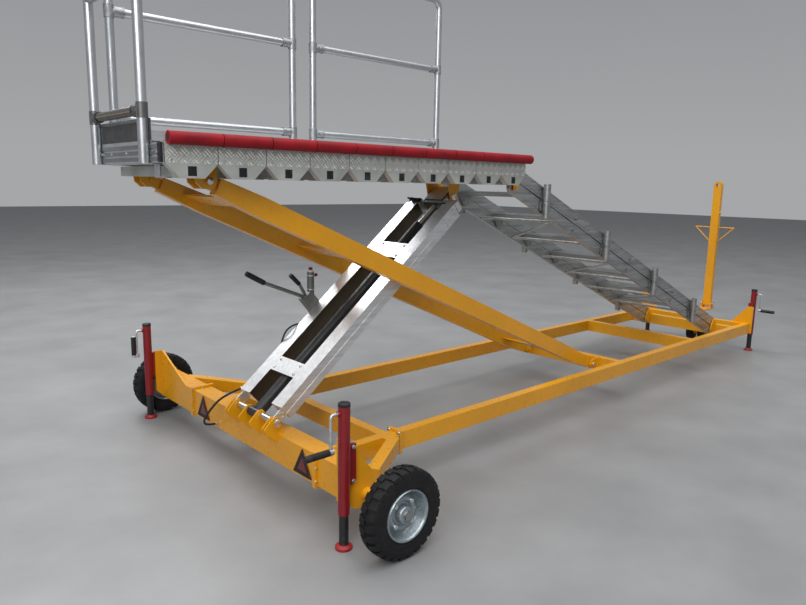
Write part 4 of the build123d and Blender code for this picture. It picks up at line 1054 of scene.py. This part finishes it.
def mast_head():
    """Cross box between the mast head's lugs, the side plates of the head and its fittings."""
    box, plates, dark, bolts = Shapes(), Shapes(), Shapes(), Shapes()
    outline = ((1.700, 0.034), (1.700, -0.030), (1.780, -0.040))
    outline += ((1.868, -0.024), (1.884, 0.004), (1.868, 0.030))
    box.block((1.292, -0.095, 1.640), (1.408, 0.095, 1.6868))
    box.place("mast_lug_box", "platform", YELLOW, 0.002)
    for side in (-1, 1):
        corners = []
        for s, n in outline:
            x, z = along_mast(s, n)
            corners.append((x, side * 0.0805, z))
        plates.prism(corners, (0, side * 0.006, 0))
        for s, n in ((1.735, 0.012), (1.735, -0.014), (1.800, 0.014), (1.800, -0.016)):
            x, z = along_mast(s, n)
            bolts.bolt((x, side * 0.0865, z), (0, side, 0), 0.007)
    x, z = along_mast(1.752, 0.040)
    dark.block((x - 0.022, 0.120, z - 0.010), (x + 0.022, 0.196, z + 0.012))
    plug = [(0, 0.008), (0.014, 0.008), (0.016, 0.006), (0.034, 0.006)]
    for y in (0.140, 0.176):
        dark.turned((x - 0.020, y, z + 0.004), (-1, 0, 0.25), plug, 12)
    plates.place("mast_head_plates", "mast_stage", STAIR_ALU, 0.001)
    dark.place("mast_head_block", "mast_stage", GRIP, 0.0015)
    bolts.place("mast_head_bolts", "mast_stage", BOLT)


def tread_ribs():
    """Grip ribs along each tread, and the hinge pins' ends on every second one."""
    pin_end = [(-0.005, 0.014), (0.001, 0.014), (0.001, 0.009), (0.005, 0.008)]
    for i in range(TREAD_COUNT):
        share = TREAD_FIRST + TREAD_STEP * i
        x = STAIR_FOOT[0] + share * (ARM_HEAD[0] - ARM_FOOT[0])
        z = STAIR_FOOT[1] + share * (ARM_HEAD[1] - ARM_FOOT[1])
        ribs, pins = Shapes(), Shapes()
        for k in range(RIB_COUNT):
            x0 = x - 0.072 + k * RIB_PITCH
            ribs.block((x0, -0.314, z + 0.088), (x0 + RIB_WIDTH, 0.314, z + 0.0902))
        if i % 2:
            for side in (-1, 1):
                for dx, dz in ((0, 0), (0.040, 0.080)):
                    pins.turned((x + dx, side * 0.3655, z + dz), (0, side, 0), pin_end, 14)
            pins.place(f"tread_pins_{i + 1}", f"tread_{i + 1}", CAST)
        ribs.place(f"tread_ribs_{i + 1}", f"tread_{i + 1}", TREAD_ALU)


def lift_pins():
    """Washers on the foot pins and head pins of the lift arms and on the mast's head pin."""
    foot_washer = [(-0.001, 0.018), (0.004, 0.018), (0.006, 0.015)]
    head_washer = [(-0.001, 0.015), (0.004, 0.015), (0.006, 0.012)]
    mast_washer = [(0, 0.022), (0.005, 0.022), (0.007, 0.018)]
    feet, heads = Shapes(), Shapes()
    for side in (-1, 1):
        out = (0, side, 0)
        feet.turned((ARM_FOOT[0], side * ARM_PIN_END, ARM_FOOT[1]), out, foot_washer, 24)
        heads.turned((ARM_HEAD[0], side * ARM_PIN_END, ARM_HEAD[1]), out, head_washer, 24)
        heads.turned((MAST_HEAD[0], side * MAST_PIN_END, MAST_HEAD[1]), out, mast_washer, 24)
    feet.place("arm_foot_washers", "chassis", BOLT, 0.0006)
    heads.place("platform_pin_washers", "platform", BOLT, 0.0006)


def soft_light(name, at, aim, size, power):
    """Round soft light at a place, turned to the point that it faces."""
    lamp = bpy.data.lights.new(name, "AREA")
    lamp.shape = "DISK"
    lamp.size = size
    lamp.energy = power
    holder = bpy.data.objects.new(name, lamp)
    holder.location = at
    holder.rotation_mode = "QUATERNION"
    holder.rotation_quaternion = (Vector(aim) - Vector(at)).to_track_quat("-Z", "Y")
    bpy.context.scene.collection.objects.link(holder)


def room_light(strength):
    """World of a large hall: pale walls all round, and darker overhead between the lamps."""
    world = bpy.data.worlds.new("hall")
    world.use_nodes = True
    tree = world.node_tree
    background = tree.nodes["Background"]
    background.inputs["Strength"].default_value = strength
    coords = tree.nodes.new("ShaderNodeTexCoord")
    height = axis_of(tree, coords.outputs["Generated"], "Z")
    rise = spread(tree, height, 0.04, 0.55, 0.0, 1.0)
    tree.links.new(blend(tree, rise, (0.80, 0.82, 0.84), (0.40, 0.42, 0.45)), background.inputs["Color"])
    bpy.context.scene.world = world


hoses()
wheel_rims()
wheel_tyres()
jack_fittings()
frame_bolts()
reflector_borders()
mast_foot()
mast_plates()
pump_fittings()
plank_screws()
guardrail_clamps()
end_panel()
tow_bar_fittings()
mast_head()
tread_ribs()
lift_pins()
floor()
for name, at, aim, size, power in LIGHTS:
    soft_light(name, at, aim, size, power)
bpy.context.scene.view_settings.view_transform = "Standard"
room_light(HALL_STRENGTH)
